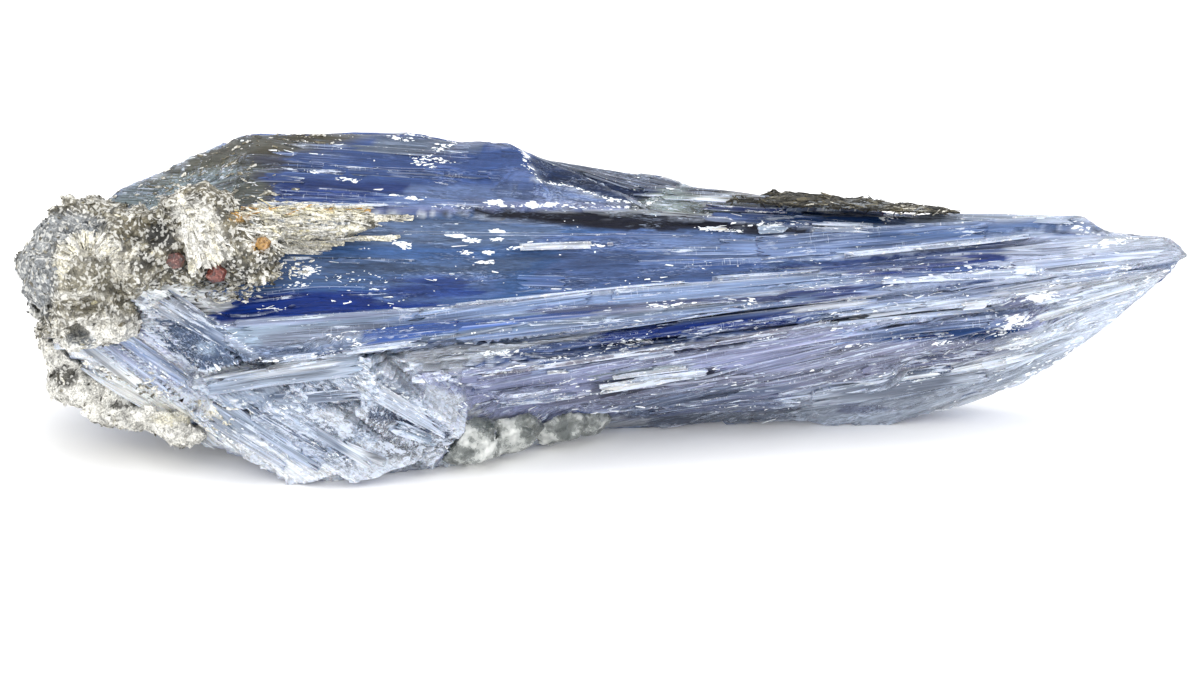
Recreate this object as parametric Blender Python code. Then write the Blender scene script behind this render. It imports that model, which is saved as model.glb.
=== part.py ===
"""A kyanite blade cluster: a fan of grown-together blades with a mica schist end.

The specimen lies on its side. Its broad display face leans back from the front edge, so the
blades are laid out on the display plane: `across` runs along the specimen to the right, `up`
runs up the leaning plane, and `depth` is the distance behind the specimen's middle.
The tables are in millimetres on a layout 117 mm long. The scene is built in metres, +Z up.
"""

import math
import random
from collections import namedtuple

import bmesh
import bpy
from mathutils import Matrix, Vector, noise

# Driving dimensions
SPECIMEN_LENGTH = 117.0
LAYOUT_LENGTH = 117.0  # the specimen's length in the tables below
MM = 0.001 * SPECIMEN_LENGTH / LAYOUT_LENGTH
DISPLAY_LEAN = math.radians(20)  # the display plane's tilt back from upright
GROWTH_GAP = 0.3  # clear joint between pieces of different minerals
CORE_INSET = 0.25  # how far the shared core lies under the blades' own faces
BLADE_SEED = 15
BIG_LUMP = 4.5  # lumps with a longer radius than this get the finer ball

COLLECTION = "kyanite_blade_cluster"
BLANKS = "blanks"

LEAN_SIN, LEAN_COS = math.sin(DISPLAY_LEAN), math.cos(DISPLAY_LEAN)

# One cross-section of the whole kyanite mass. low and high are its lower and upper outline on
# the display plane. foot, belly, shoulder and crest steer the depth of the display face from
# bottom to top, and back is the depth of the far side.
Station = namedtuple("Station", "across low high foot belly shoulder crest back")

STATIONS = [
    Station(-52.0, 4.0, 19.0, -4.0, -12.0, -9.0, 1.0, 10.0),
    Station(-45.0, 0.6, 24.0, -7.0, -17.0, -9.0, 3.0, 15.5),
    Station(-36.0, -2.6, 28.8, -11.5, -21.5, -9.0, 5.0, 18.4),
    Station(-27.0, -5.7, 29.2, -16.0, -23.5, -8.0, 6.0, 19.2),
    Station(-15.0, -4.1, 28.3, -11.5, -19.0, -6.0, 6.0, 18.0),
    Station(-6.5, -2.2, 27.2, -6.5, -16.5, -5.0, 6.0, 16.2),
    Station(0.0, -0.7, 25.6, -2.0, -14.0, -4.0, 6.0, 14.0),
    Station(15.0, 0.3, 22.6, 0.4, -9.5, -3.0, 5.0, 11.0),
    Station(28.0, 0.1, 20.9, 0.8, -7.5, -3.0, 4.0, 9.0),
    Station(35.0, 1.6, 21.2, 1.0, -6.0, -3.0, 3.5, 7.8),
    Station(42.0, 4.2, 21.0, 1.0, -4.5, -2.5, 3.0, 6.5),
    Station(51.0, 10.3, 19.2, 1.0, -2.0, -1.0, 2.5, 4.5),
    Station(57.4, 15.6, 18.9, 1.0, -0.3, 0.2, 1.5, 2.6),
]

FRONT_STEPS = 9  # stretches of the display face in each ring of the core
THIN_END = 0.35  # the core's least reach from its middle, at the tip

# The far side from crest to foot: share of the way back, share of the height.
REAR_SHAPE = ((0.0, 1.0), (0.55, 0.86), (0.95, 0.58), (1.0, 0.26), (0.72, 0.0))
FULL_SPAN = 26.0  # a section this high carries far-side blades at their full size

# A blade whose face shows on the display side. Its corners are (across, up), its face stands
# `proud` of the display face, and it runs back level for `thick`.
FaceBlade = namedtuple("FaceBlade", "left_top right_top right_bottom left_bottom proud thick")

MAIN_SPRAY = {
    "crest_left": FaceBlade((-48.6, 23.4), (-33.6, 29.7), (-30.0, 21.5), (-49.6, 20.6), 0.5, 11),
    "crest_middle": FaceBlade((-36.0, 29.4), (-17.0, 29.2), (-16.0, 21.7), (-37.0, 21.4), 0.9, 10),
    "crest_right": FaceBlade((-19.0, 28.9), (-7.4, 27.6), (4.2, 22.2), (-19.0, 21.7), 1.2, 7),
    "crest_scallop": FaceBlade((-17.4, 28.5), (-8.6, 28.6), (-6.0, 25.4), (-16.6, 25.6), 1.9, 5),
    "crest_lip": FaceBlade((-9.6, 28.2), (-6.4, 26.8), (-5.6, 24.2), (-9.4, 24.8), 2.3, 4),
    "rear_slab": FaceBlade((-12.0, 27.7), (8.2, 24.5), (5.0, 20.9), (-12.0, 20.9), -1.3, 6),
    "grey_layer": FaceBlade((6.6, 24.1), (19.0, 22.6), (17.0, 20.9), (3.6, 21.2), 0.6, 5),
    "dark_band": FaceBlade((-17.4, 21.6), (29.7, 21.0), (32.2, 19.9), (-17.0, 20.4), 0.1, 6),
    "main_face": FaceBlade((-37.0, 20.6), (30.5, 20.1), (31.5, 17.0), (-41.0, 9.4), 0.5, 9),
    "pale_blade": FaceBlade((14.0, 19.4), (48.8, 21.2), (50.2, 19.2), (17.0, 16.0), 1.0, 7),
    "ledge_left": FaceBlade((-37.9, 10.2), (5.0, 13.8), (5.0, 11.9), (-34.0, 6.1), 2.3, 7),
    "ledge_right": FaceBlade((2.0, 13.6), (23.0, 15.8), (25.6, 14.6), (2.0, 11.6), 2.0, 5),
    "sheen_blade": FaceBlade((8.0, 13.8), (46.0, 18.9), (47.0, 16.6), (8.0, 11.8), 1.2, 7),
    "white_lath": FaceBlade((25.8, 14.0), (42.0, 16.4), (45.4, 15.2), (27.6, 12.9), 1.9, 5),
    "short_lath": FaceBlade((30.6, 12.4), (39.8, 13.1), (39.9, 12.2), (31.0, 11.4), 2.0, 5),
    "lilac_blade": FaceBlade((-19.6, 9.0), (27.0, 13.4), (24.0, 11.9), (-18.0, 5.4), 1.5, 6),
    "blue_blade": FaceBlade((-11.0, 6.9), (38.0, 11.9), (41.0, 9.8), (-12.0, 4.6), 0.5, 6),
    "broad_pale_blade": FaceBlade((-15.6, 4.9), (43.0, 11.3), (46.4, 9.0), (-6.0, 1.7), 1.6, 6),
    "lower_blade": FaceBlade((-2.0, 3.4), (50.2, 9.6), (41.6, 3.9), (4.0, 0.7), 0.9, 6),
    "under_blade": FaceBlade((12.0, 2.9), (42.0, 5.8), (33.6, 1.8), (15.0, 0.5), 0.5, 6),
    "foot_blade": FaceBlade((19.0, 1.8), (34.0, 2.5), (29.0, -0.2), (22.0, -0.2), 0.2, 6),
    "tip_upper": FaceBlade((43.0, 19.1), (56.8, 18.8), (58.5, 17.0), (39.0, 12.8), 1.3, 3),
    "tip_lower": FaceBlade((39.0, 13.1), (58.5, 17.2), (50.4, 9.8), (41.0, 7.8), 0.7, 3),
}

CROSS_SPRAY = {
    "slate_blade": FaceBlade((-43.0, 16.6), (-33.6, 6.6), (-39.2, 5.4), (-47.0, 13.2), 3.0, 9),
    "upper_lath": FaceBlade((-46.8, 13.4), (-29.6, -1.2), (-33.4, -3.4), (-51.4, 10.6), 1.9, 9),
    "lower_lath": FaceBlade((-51.4, 10.8), (-33.2, -3.2), (-39.2, -1.8), (-55.0, 8.8), 1.0, 9),
    "level_shard": FaceBlade((-40.8, 4.2), (-22.6, 7.0), (-21.4, 3.0), (-36.6, 1.6), 2.9, 8),
    "steep_shard": FaceBlade((-37.6, 3.2), (-25.6, -4.6), (-30.0, -5.9), (-40.6, 0.6), 2.0, 9),
    "front_shard": FaceBlade((-30.0, 3.8), (-17.6, -3.2), (-24.4, -5.8), (-34.6, 1.0), 2.5, 9),
    "white_shard": FaceBlade((-21.6, 6.0), (-13.6, -0.4), (-16.6, -4.2), (-24.2, 1.4), 2.1, 9),
}

# Thin blades between the ledges, spread from the first line to the last. A line is its left and
# right end (across, up), and each blade takes a stretch of its own line.
FINE_FAN = {
    "first": ((-30.0, 8.4), (44.0, 17.6)),
    "last": ((-6.0, 1.2), (43.0, 5.0)),
    "count": 13,
    "width": (0.7, 1.7),
    "proud": (0.9, 2.6),
    "thick": 7.0,
}

# Blades on the far side, from the crest down to the foot.
REAR_FAN = {
    "count": 17,
    "left_end": (-46.0, -22.0),
    "right_end": (4.0, 49.0),
    "width": (2.6, 5.6),
    "proud": (0.1, 1.3),
    "thick": 6.0,
}

# A lump of another mineral: centre (across, up, depth) and radii (along, through, high).
Lump = namedtuple("Lump", "centre radii")

MATRIX_LUMPS = [
    Lump((-52.3, 16.2, -7.0), (5.0, 6.5, 5.4)),
    Lump((-51.6, 15.6, -12.0), (3.9, 4.2, 3.6)),
    Lump((-39.8, 19.0, -10.5), (5.2, 4.6, 4.5)),
    Lump((-46.2, 17.4, -9.6), (4.8, 5.0, 4.4)),
    Lump((-50.4, 11.8, -10.6), (4.8, 5.2, 4.2)),
    Lump((-35.2, 17.4, -11.2), (4.0, 3.0, 3.0)),
    Lump((-51.5, 15.0, 2.0), (5.8, 7.0, 6.4)),
    Lump((-50.2, 20.0, 0.4), (4.2, 4.8, 2.6)),
    Lump((-52.6, 9.6, -3.0), (3.4, 6.0, 4.6)),
    Lump((-50.8, 5.2, -4.6), (4.0, 4.4, 3.2)),
    Lump((-46.0, 2.4, -7.4), (5.0, 4.2, 2.4)),
    Lump((-41.0, 0.6, -9.8), (4.4, 3.8, 2.0)),
    Lump((-34.6, 19.4, -9.0), (3.6, 3.2, 2.4)),
    Lump((-29.4, 20.2, -6.4), (7.2, 2.0, 1.5)),
]

QUARTZ_LUMPS = [
    Lump((-13.0, -0.8, -11.0), (3.6, 3.6, 3.4)),
    Lump((-9.4, 0.4, -8.2), (3.6, 3.4, 3.0)),
    Lump((-5.0, 0.8, -5.4), (3.6, 3.2, 2.6)),
    Lump((-1.4, 1.2, -4.0), (2.8, 2.6, 1.8)),
]

RIND_LUMPS = [
    Lump((19.6, 21.5, 2.6), (6.6, 3.8, 1.5)),
    Lump((24.6, 20.9, 2.5), (6.6, 3.8, 1.5)),
    Lump((29.6, 20.5, 2.4), (6.0, 3.4, 1.4)),
]

# Mica books: flat six-sided plates grown half into the matrix, on its first lumps.
MICA_BOOKS = {"count": 26, "lumps": 9, "radius": (1.3, 2.4), "thick": (0.5, 1.0)}

# Hollows: a centre (across, up, depth) and radii, as for a lump.
MATRIX_PITS = [
    Lump((-43.4, 19.0, -15.6), (1.5, 2.2, 1.2)),
    Lump((-47.8, 14.2, -16.4), (1.3, 2.0, 1.6)),
    Lump((-36.4, 20.4, -14.6), (1.1, 1.8, 0.9)),
    Lump((-54.8, 12.4, -9.0), (1.6, 2.4, 1.1)),
    Lump((-51.4, 9.4, -14.4), (1.4, 2.2, 1.0)),
]
QUARTZ_PITS = [
    Lump((-10.8, -0.4, -11.6), (0.9, 1.6, 0.9)),
    Lump((-6.6, 0.4, -8.6), (0.9, 1.5, 0.8)),
]

# Open joints between blades: their ends (across, up), width and depth behind the display face.
Joint = namedtuple("Joint", "left right width depth")
JOINTS = [
    Joint((10.0, 14.7), (44.4, 18.5), 0.35, 1.1),
    Joint((28.6, 10.1), (41.4, 9.2), 1.0, 0.9),
    Joint((-14.0, 20.4), (6.0, 20.9), 0.4, 0.7),
    Joint((-40.6, 12.6), (-33.4, 4.6), 0.5, 2.1),
    Joint((-19.0, 5.3), (12.0, 8.9), 0.5, 1.3),
]
JOINT_LEAD = 6.0  # how far before the display face a joint's cutter starts

GARNETS = {
    "garnet_upper": ((-41.6, 16.5, -15.6), 0.85),
    "garnet_lower": ((-37.7, 15.2, -14.6), 0.95),
    "garnet_rusty": ((-33.1, 18.2, -13.4), 0.70),
}

COLOURS = {
    "kyanite": ((0.10, 0.20, 0.45), 0.35),
    "mica": ((0.36, 0.34, 0.29), 0.55),
    "rind": ((0.12, 0.11, 0.09), 0.60),
    "quartz": ((0.62, 0.66, 0.66), 0.30),
    "garnet": ((0.24, 0.05, 0.05), 0.30),
    "rust": ((0.50, 0.22, 0.05), 0.50),
}


# Layout on the display plane


def display_point(across, up, depth):
    """The place in metres of a point of the display plane."""
    height = (up - depth * LEAN_SIN) / LEAN_COS
    return Vector((across, depth, height)) * MM


def section_at(across):
    """The section's numbers at any place along the specimen, between its two stations."""
    across = min(max(across, STATIONS[0].across), STATIONS[-1].across)
    for near, far in zip(STATIONS, STATIONS[1:]):
        if across <= far.across:
            share = (across - near.across) / (far.across - near.across)
            return Station(*[a + (b - a) * share for a, b in zip(near, far)])
    return STATIONS[-1]


def front_depth(across, up):
    """Depth of the display face at a point of the display plane."""
    section = section_at(across)
    share = (up - section.low) / (section.high - section.low)
    share = min(max(share, 0.0), 1.0)
    rest = 1 - share
    return (
        section.foot * rest**3
        + 3 * section.belly * rest**2 * share
        + 3 * section.shoulder * rest * share**2
        + section.crest * share**3
    )


def drop_under_crest(across, depth, height, tuck):
    """How far a point drops to lie `tuck` below the upper outline on the display plane."""
    section = section_at(across)
    ceiling = (section.high - tuck - depth * LEAN_SIN) / LEAN_COS
    return max(height - ceiling, 0.0)


def rear_profile(section):
    """The far side of a section as (depth, height), from the crest down to the foot."""
    top = (section.high - section.crest * LEAN_SIN) / LEAN_COS
    foot = max((section.low - section.foot * LEAN_SIN) / LEAN_COS, 0.0)
    span = top - foot
    behind = section.back - section.crest
    return [(section.crest + back * behind, foot + up * span) for back, up in REAR_SHAPE]


def rear_depth(across, share):
    """(depth, height) of the far side, where share runs from 0 at the crest to 1 at the foot."""
    profile = rear_profile(section_at(across))
    place = min(max(share, 0.0), 0.999) * (len(profile) - 1)
    step = int(place)
    (y0, z0), (y1, z1) = profile[step], profile[step + 1]
    part = place - step
    return y0 + (y1 - y0) * part, z0 + (z1 - z0) * part


# Solids


def new_object(name, mesh_builder, collection, hidden=False):
    """Makes an object from a bmesh and puts it in a collection."""
    mesh = bpy.data.meshes.new(name)
    bmesh.ops.recalc_face_normals(mesh_builder, faces=mesh_builder.faces)
    mesh_builder.to_mesh(mesh)
    mesh_builder.free()
    made = bpy.data.objects.new(name, mesh)
    collection.objects.link(made)
    if hidden:
        made.hide_render = True
        made.display_type = "WIRE"
    return made


def grown(mesh_builder, gap):
    """The same mesh with every face moved outwards by `gap`."""
    bmesh.ops.recalc_face_normals(mesh_builder, faces=mesh_builder.faces)
    mesh_builder.normal_update()
    moves = [v.normal * v.calc_shell_factor() * gap * MM for v in mesh_builder.verts]
    for vert, move in zip(mesh_builder.verts, moves):
        vert.co += move
    return mesh_builder


def core_mesh():
    """The mass that all blades share, lofted through the stations."""
    made = bmesh.new()
    rings = []
    for station in STATIONS:
        front = []
        for step in range(FRONT_STEPS + 1):
            up = station.low + (station.high - station.low) * step / FRONT_STEPS
            depth = front_depth(station.across, up)
            height = (up - depth * LEAN_SIN) / LEAN_COS
            front.append((depth, height))
        outline = front + rear_profile(station)[1:]
        middle_y = sum(y for y, _ in outline) / len(outline)
        middle_z = sum(z for _, z in outline) / len(outline)
        ring = []
        for depth, height in outline:
            away = Vector((depth - middle_y, height - middle_z))
            kept = max(away.length - CORE_INSET, THIN_END)
            away = away.normalized() * kept
            place = Vector((station.across, middle_y + away.x, middle_z + away.y)) * MM
            ring.append(made.verts.new(place))
        rings.append(ring)
    for near, far in zip(rings, rings[1:]):
        for i in range(len(near)):
            j = (i + 1) % len(near)
            made.faces.new((near[i], near[j], far[j], far[i]))
    made.faces.new(rings[0])
    made.faces.new(rings[-1])
    bmesh.ops.triangulate(made, faces=made.faces)
    return made


def box_mesh(front_corners, back_corners):
    """A blade. Its front and back corners are each the left end's top and bottom, then the
    right end's."""
    made = bmesh.new()
    bmesh.ops.create_cube(made, size=2.0)
    corners = {}
    ends = ((-1, 1), (-1, -1), (1, 1), (1, -1))
    for (x, z), front, back in zip(ends, front_corners, back_corners):
        corners[(x, -1, z)] = front
        corners[(x, 1, z)] = back
    for vert in made.verts:
        vert.co = corners[tuple(round(c) for c in vert.co)]
    return made


def face_blade_mesh(blade):
    """A blade on the display side."""
    tuck = 0.02 + 0.07 * blade.proud + 0.01 * blade.thick  # differs, so no two tops are flush
    left = (blade.left_top, blade.left_bottom)
    right = (blade.right_top, blade.right_bottom)
    front, back = [], []
    for end in (left, right):
        drop = 0.0
        for across, up in end:
            depth = front_depth(across, up) - blade.proud
            corner = display_point(across, up, depth)
            behind = depth + blade.thick
            drop = max(drop, drop_under_crest(across, behind, corner.z / MM, tuck))
            front.append(corner)
            back.append(corner + Vector((0, blade.thick, -drop)) * MM)
    return box_mesh(front, back)


def fine_blades():
    """The thin blades between the ledges, fanned from the first face line to the last."""
    dice = random.Random(BLADE_SEED)
    fan = FINE_FAN
    blades = {}
    for i in range(fan["count"]):
        share = i / (fan["count"] - 1)
        (a0, u0), (a1, u1) = [
            [p + (q - p) * share for p, q in zip(first, last)]
            for first, last in zip(fan["first"], fan["last"])
        ]
        start = dice.uniform(0.0, 0.35)
        stop = dice.uniform(0.6, 1.0)
        width = dice.uniform(*fan["width"])
        left = (a0 + (a1 - a0) * start, u0 + (u1 - u0) * start)
        right = (a0 + (a1 - a0) * stop, u0 + (u1 - u0) * stop)
        slant = dice.uniform(-1.2, 1.2)
        blades[f"fine_{i:02d}"] = FaceBlade(
            left,
            right,
            (right[0] + slant, right[1] - width * 0.7),
            (left[0] - slant, left[1] - width),
            dice.uniform(*fan["proud"]),
            fan["thick"],
        )
    return blades


def rear_blade_meshes():
    """The blades of the far side, one after another from the crest to the foot."""
    dice = random.Random(BLADE_SEED + 1)
    fan = REAR_FAN
    for i in range(fan["count"]):
        share = (i + 0.5) / fan["count"]
        left = dice.uniform(*fan["left_end"])
        right = dice.uniform(*fan["right_end"])
        width = dice.uniform(*fan["width"])
        proud = dice.uniform(*fan["proud"])
        tilt = dice.uniform(-0.6, 0.6)
        tuck = dice.uniform(0.1, 0.9)
        outer, inner = [], []
        for across in (left, right):
            section = section_at(across)
            narrow = min(1.0, (section.high - section.low) / LEAN_COS / FULL_SPAN)
            depth, height = rear_depth(across, share)
            depth += proud * narrow
            half = width * narrow / 2
            drop = drop_under_crest(across, depth, height + half, tuck)
            for side in (1, -1):
                level = max(height + side * half - drop, -0.4)
                corner = Vector((across + side * tilt, depth, level)) * MM
                outer.append(corner)
                inner.append(corner - Vector((0, fan["thick"] * narrow, 0)) * MM)
        yield f"rear_{i:02d}", box_mesh(inner, outer)


def lump_mesh(lump, seed, roughness):
    """A craggy lump: a ball drawn out to its radii, with its surface pushed in and out."""
    made = bmesh.new()
    rings = 3 if max(lump.radii) > BIG_LUMP else 2
    bmesh.ops.create_icosphere(made, subdivisions=rings, radius=1.0)
    along, through, high = lump.radii
    centre = display_point(*lump.centre)
    for vert in made.verts:
        ripple = noise.noise(vert.co * 1.7 + Vector((seed, seed * 2.3, 0)))
        grain = noise.noise(vert.co * 4.1 + Vector((0, seed, seed * 1.3)))
        push = 1 + roughness * (ripple + 0.5 * grain)
        shaped = Vector((vert.co.x * along, vert.co.y * through, vert.co.z * high))
        vert.co = centre + shaped * push * MM
    return made


def book_mesh(centre, radius, thick, turn):
    """A mica book: a flat six-sided plate."""
    made = bmesh.new()
    place = Matrix.Translation(centre) @ turn.to_matrix().to_4x4()
    bmesh.ops.create_cone(
        made,
        cap_ends=True,
        segments=6,
        radius1=radius * MM,
        radius2=radius * 0.86 * MM,
        depth=thick * MM,
        matrix=place,
    )
    return made


def book_meshes():
    """The mica books, each leaning out of the surface of one of the matrix lumps."""
    dice = random.Random(BLADE_SEED + 2)
    books = MICA_BOOKS
    for i in range(books["count"]):
        lump = MATRIX_LUMPS[i % books["lumps"]]
        way = Vector((dice.uniform(-1, 0.6), dice.uniform(-1, 0.1), dice.uniform(-0.6, 1)))
        way.normalize()
        reach = Vector([w * r for w, r in zip(way, lump.radii)]) * MM
        centre = display_point(*lump.centre) + reach * 0.9
        tumble = Vector([dice.uniform(-1, 1) for _ in range(3)])
        turn = (way + tumble).to_track_quat("X", "Z")
        yield book_mesh(centre, dice.uniform(*books["radius"]), dice.uniform(*books["thick"]), turn)


def joint_mesh(joint):
    """A thin slot between two blades, cut in from the display side."""
    front, back = [], []
    (left, left_up), (right, right_up) = joint.left, joint.right
    half = joint.width / 2
    for across, up in (
        (left, left_up + half * 0.4),
        (left, left_up - half * 0.4),
        (right, right_up + half),
        (right, right_up - half),
    ):
        depth = front_depth(across, up)
        front.append(display_point(across, up, depth - JOINT_LEAD))
        back.append(display_point(across, up, depth + joint.depth))
    return box_mesh(front, back)


def floor_mesh():
    """Everything below the surface that the specimen rests on."""
    made = bmesh.new()
    side, depth = LAYOUT_LENGTH * 2 * MM, 20 * MM
    place = Matrix.Translation((0, 0, -depth / 2)) @ Matrix.Diagonal((side, side, depth, 1))
    bmesh.ops.create_cube(made, size=1.0, matrix=place)
    return made


def add_boolean(target, operation, other):
    """A Boolean on target. other is an object, or a collection of blanks."""
    step = target.modifiers.new(f"{operation.lower()}_{other.name}", "BOOLEAN")
    step.operation = operation
    step.solver = "EXACT"
    if isinstance(other, bpy.types.Collection):
        step.operand_type = "COLLECTION"
        step.collection = other
    else:
        step.object = other


def material(name):
    """The plain finish of one mineral."""
    colour, roughness = COLOURS[name]
    made = bpy.data.materials.new(name)
    made.use_nodes = True
    shader = made.node_tree.nodes["Principled BSDF"]
    shader.inputs["Base Color"].default_value = (*colour, 1.0)
    shader.inputs["Roughness"].default_value = roughness
    shader.inputs["Metallic"].default_value = 0.0
    made.diffuse_color = (*colour, 1.0)
    return made


def new_collection(name, parent, hidden=False):
    made = bpy.data.collections.new(name)
    parent.children.link(made)
    made.hide_render = hidden
    return made


# The pieces


def kyanite_object(name, home, blanks, gap=0.0, hidden=False):
    """The grown-together kyanite. A copy with a gap clears the joints to its neighbours."""
    body = new_object(name, grown(core_mesh(), gap), home, hidden)
    family = new_collection(f"{name}_blanks", blanks, hidden=True)
    blades = {
        blade_name: face_blade_mesh(blade)
        for blade_name, blade in {**MAIN_SPRAY, **CROSS_SPRAY, **fine_blades()}.items()
    }
    blades.update(rear_blade_meshes())
    for blade_name, mesh in blades.items():
        new_object(f"{name}_{blade_name}", grown(mesh, gap), family, True)
    add_boolean(body, "UNION", family)
    return body


def lump_object(name, lumps, seed, roughness, home, blanks):
    """Grown-together lumps of one mineral."""
    body = new_object(name, lump_mesh(lumps[0], seed, roughness), home)
    family = new_collection(f"{name}_blanks", blanks, hidden=True)
    for i, lump in enumerate(lumps[1:], 1):
        mesh = lump_mesh(lump, seed + i, roughness)
        new_object(f"{name}_lump_{i}", mesh, family, True)
    add_boolean(body, "UNION", family)
    return body


def cut_blanks(name, meshes, blanks):
    """A hidden collection of cutters."""
    family = new_collection(name, blanks, hidden=True)
    for i, mesh in enumerate(meshes):
        new_object(f"{name}_{i}", mesh, family, True)
    return family


def garnet_mesh(centre, radius):
    """A garnet's rhombic dodecahedron, the meeting of a cube's and an octahedron's corners."""
    made = bmesh.new()
    middle = display_point(*centre)
    half = radius * 0.62 * MM
    points = [Vector((x, y, z)) * half for x in (-1, 1) for y in (-1, 1) for z in (-1, 1)]
    for axis in range(3):
        for side in (-1, 1):
            point = Vector((0, 0, 0))
            point[axis] = side * half * 2
            points.append(point)
    turn = Matrix.Rotation(math.radians(25), 3, "X") @ Matrix.Rotation(math.radians(20), 3, "Z")
    for point in points:
        made.verts.new(middle + turn @ point)
    bmesh.ops.convex_hull(made, input=made.verts)
    return made


def main():
    for old in list(bpy.data.objects):
        bpy.data.objects.remove(old)
    top = bpy.context.scene.collection
    home = new_collection(COLLECTION, top)
    blanks = new_collection(BLANKS, top, hidden=True)

    floor = new_object("floor_cut", floor_mesh(), blanks, True)
    clearance = kyanite_object("kyanite_clearance", blanks, blanks, GROWTH_GAP, True)

    kyanite = kyanite_object("kyanite_blades", home, blanks)
    joints = cut_blanks("joints", [joint_mesh(joint) for joint in JOINTS], blanks)
    add_boolean(kyanite, "DIFFERENCE", joints)
    add_boolean(kyanite, "DIFFERENCE", floor)
    kyanite.data.materials.append(material("kyanite"))

    pockets = new_collection("garnet_pockets", blanks, hidden=True)
    rust, garnet = material("rust"), material("garnet")
    for name, (centre, radius) in GARNETS.items():
        stone = new_object(name, garnet_mesh(centre, radius), home)
        stone.data.materials.append(rust if "rusty" in name else garnet)
        pocket = grown(garnet_mesh(centre, radius), GROWTH_GAP)
        new_object(f"{name}_pocket", pocket, pockets, True)

    matrix = lump_object("mica_matrix", MATRIX_LUMPS, 3, 0.3, home, blanks)
    add_boolean(matrix, "UNION", cut_blanks("mica_books", book_meshes(), blanks))
    pits = [lump_mesh(pit, 90 + i, 0.3) for i, pit in enumerate(MATRIX_PITS)]
    add_boolean(matrix, "DIFFERENCE", cut_blanks("matrix_pits", pits, blanks))
    add_boolean(matrix, "DIFFERENCE", clearance)
    add_boolean(matrix, "DIFFERENCE", pockets)
    add_boolean(matrix, "DIFFERENCE", floor)
    matrix.data.materials.append(material("mica"))

    quartz = lump_object("quartz_seam", QUARTZ_LUMPS, 41, 0.28, home, blanks)
    pits = [lump_mesh(pit, 60 + i, 0.3) for i, pit in enumerate(QUARTZ_PITS)]
    add_boolean(quartz, "DIFFERENCE", cut_blanks("quartz_pits", pits, blanks))
    add_boolean(quartz, "DIFFERENCE", clearance)
    add_boolean(quartz, "DIFFERENCE", floor)
    quartz.data.materials.append(material("quartz"))

    rind = lump_object("dark_mica_rind", RIND_LUMPS, 71, 0.2, home, blanks)
    add_boolean(rind, "DIFFERENCE", clearance)
    rind.data.materials.append(material("rind"))


main()
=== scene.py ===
import math
import random

import bmesh
import bpy
import numpy as np
from mathutils import Matrix, Vector, noise
from mathutils.bvhtree import BVHTree


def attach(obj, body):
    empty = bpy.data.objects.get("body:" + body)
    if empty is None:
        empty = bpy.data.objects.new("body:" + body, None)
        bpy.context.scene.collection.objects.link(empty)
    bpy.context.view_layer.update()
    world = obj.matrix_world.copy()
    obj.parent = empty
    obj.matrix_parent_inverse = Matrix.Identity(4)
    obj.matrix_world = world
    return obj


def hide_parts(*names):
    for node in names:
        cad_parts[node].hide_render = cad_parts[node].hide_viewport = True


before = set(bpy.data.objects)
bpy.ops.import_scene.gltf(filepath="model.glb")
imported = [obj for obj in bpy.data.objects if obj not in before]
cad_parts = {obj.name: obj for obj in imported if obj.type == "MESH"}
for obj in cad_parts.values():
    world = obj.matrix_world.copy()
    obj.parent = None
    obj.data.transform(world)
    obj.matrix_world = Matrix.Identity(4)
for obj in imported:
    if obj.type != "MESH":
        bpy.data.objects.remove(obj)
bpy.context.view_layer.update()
print("frame loaded", sorted(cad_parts))

mm = 0.001  # meshes are worked out in millimetres and scaled once, at the end
displayLean = math.radians(20)  # the display plane's tilt back from upright
leanSin, leanCos = math.sin(displayLean), math.cos(displayLean)
viewDistance = 1200.0  # from the eye to the middle of the display plane
viewCentreUp = 8.95  # that middle's height on the display plane
frameWidth = 120.0  # what the frame spans at the display plane
restGap = 0.02  # roughened skins stay this far above the rest face

sightLine = np.array((0.0, leanCos, -leanSin))  # from the eye into the display plane
displayUp = np.array((0.0, leanSin, leanCos))
viewCentre = displayUp * viewCentreUp
eyePlace = viewCentre - sightLine * viewDistance
sightWay = Vector(sightLine)


def seenPlace(points):  # (across, up) on the display plane where points in mm show
    away = points - eyePlace
    scale = viewDistance / (away @ sightLine)
    return np.stack((away[:, 0] * scale, viewCentreUp + (away @ displayUp) * scale), axis=1)


def seenSpot(spot):  # the same for one spot
    return seenPlace(np.array([spot]))[0]


def displaySpot(across, up):  # the display plane's own point, in mm
    return viewCentre + np.array((across, 0.0, 0.0)) + displayUp * (up - viewCentreUp)


def mergedCopy(name):  # a CAD node's mesh in mm, with its doubles merged
    made = bmesh.new()
    made.from_mesh(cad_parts[name].data)
    bmesh.ops.scale(made, verts=made.verts, vec=(1 / mm,) * 3)
    bmesh.ops.remove_doubles(made, verts=made.verts, dist=1e-4)
    return made


def meshFrom(made, name):
    mesh = bpy.data.meshes.new(name)
    made.to_mesh(mesh)
    made.free()
    return mesh


def placed(name, data):  # a new object in the scene
    made = bpy.data.objects.new(name, data)
    bpy.context.scene.collection.objects.link(made)
    return made


def pieceTree(piece):  # what rays from the eye are cast at, in mm
    mesh = piece.data
    return BVHTree.FromPolygons([v.co / mm for v in mesh.vertices], [p.vertices[:] for p in mesh.polygons])


def pickedFace(roll, mesh):  # the middle and the normal of a face picked at random
    face = mesh.polygons[roll.randrange(len(mesh.polygons))]
    return face.center / mm, face.normal.copy()


def laidFlat(line, normal):
    return (line - normal * line.dot(normal)).normalized()


def strayed(roll, spread):
    return Vector([roll.gauss(0, spread) for _ in range(3)])


def turned(spot, line, side, up):  # puts a made shape at a spot, its own axes along these three
    turn = Matrix((line, side, up)).transposed().to_4x4()
    turn.translation = spot
    return turn


def ovalReach(seen, centre, radii):  # below 1 inside an oval on the display plane
    return math.hypot((seen[0] - centre[0]) / radii[0], (seen[1] - centre[1]) / radii[1])


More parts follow.
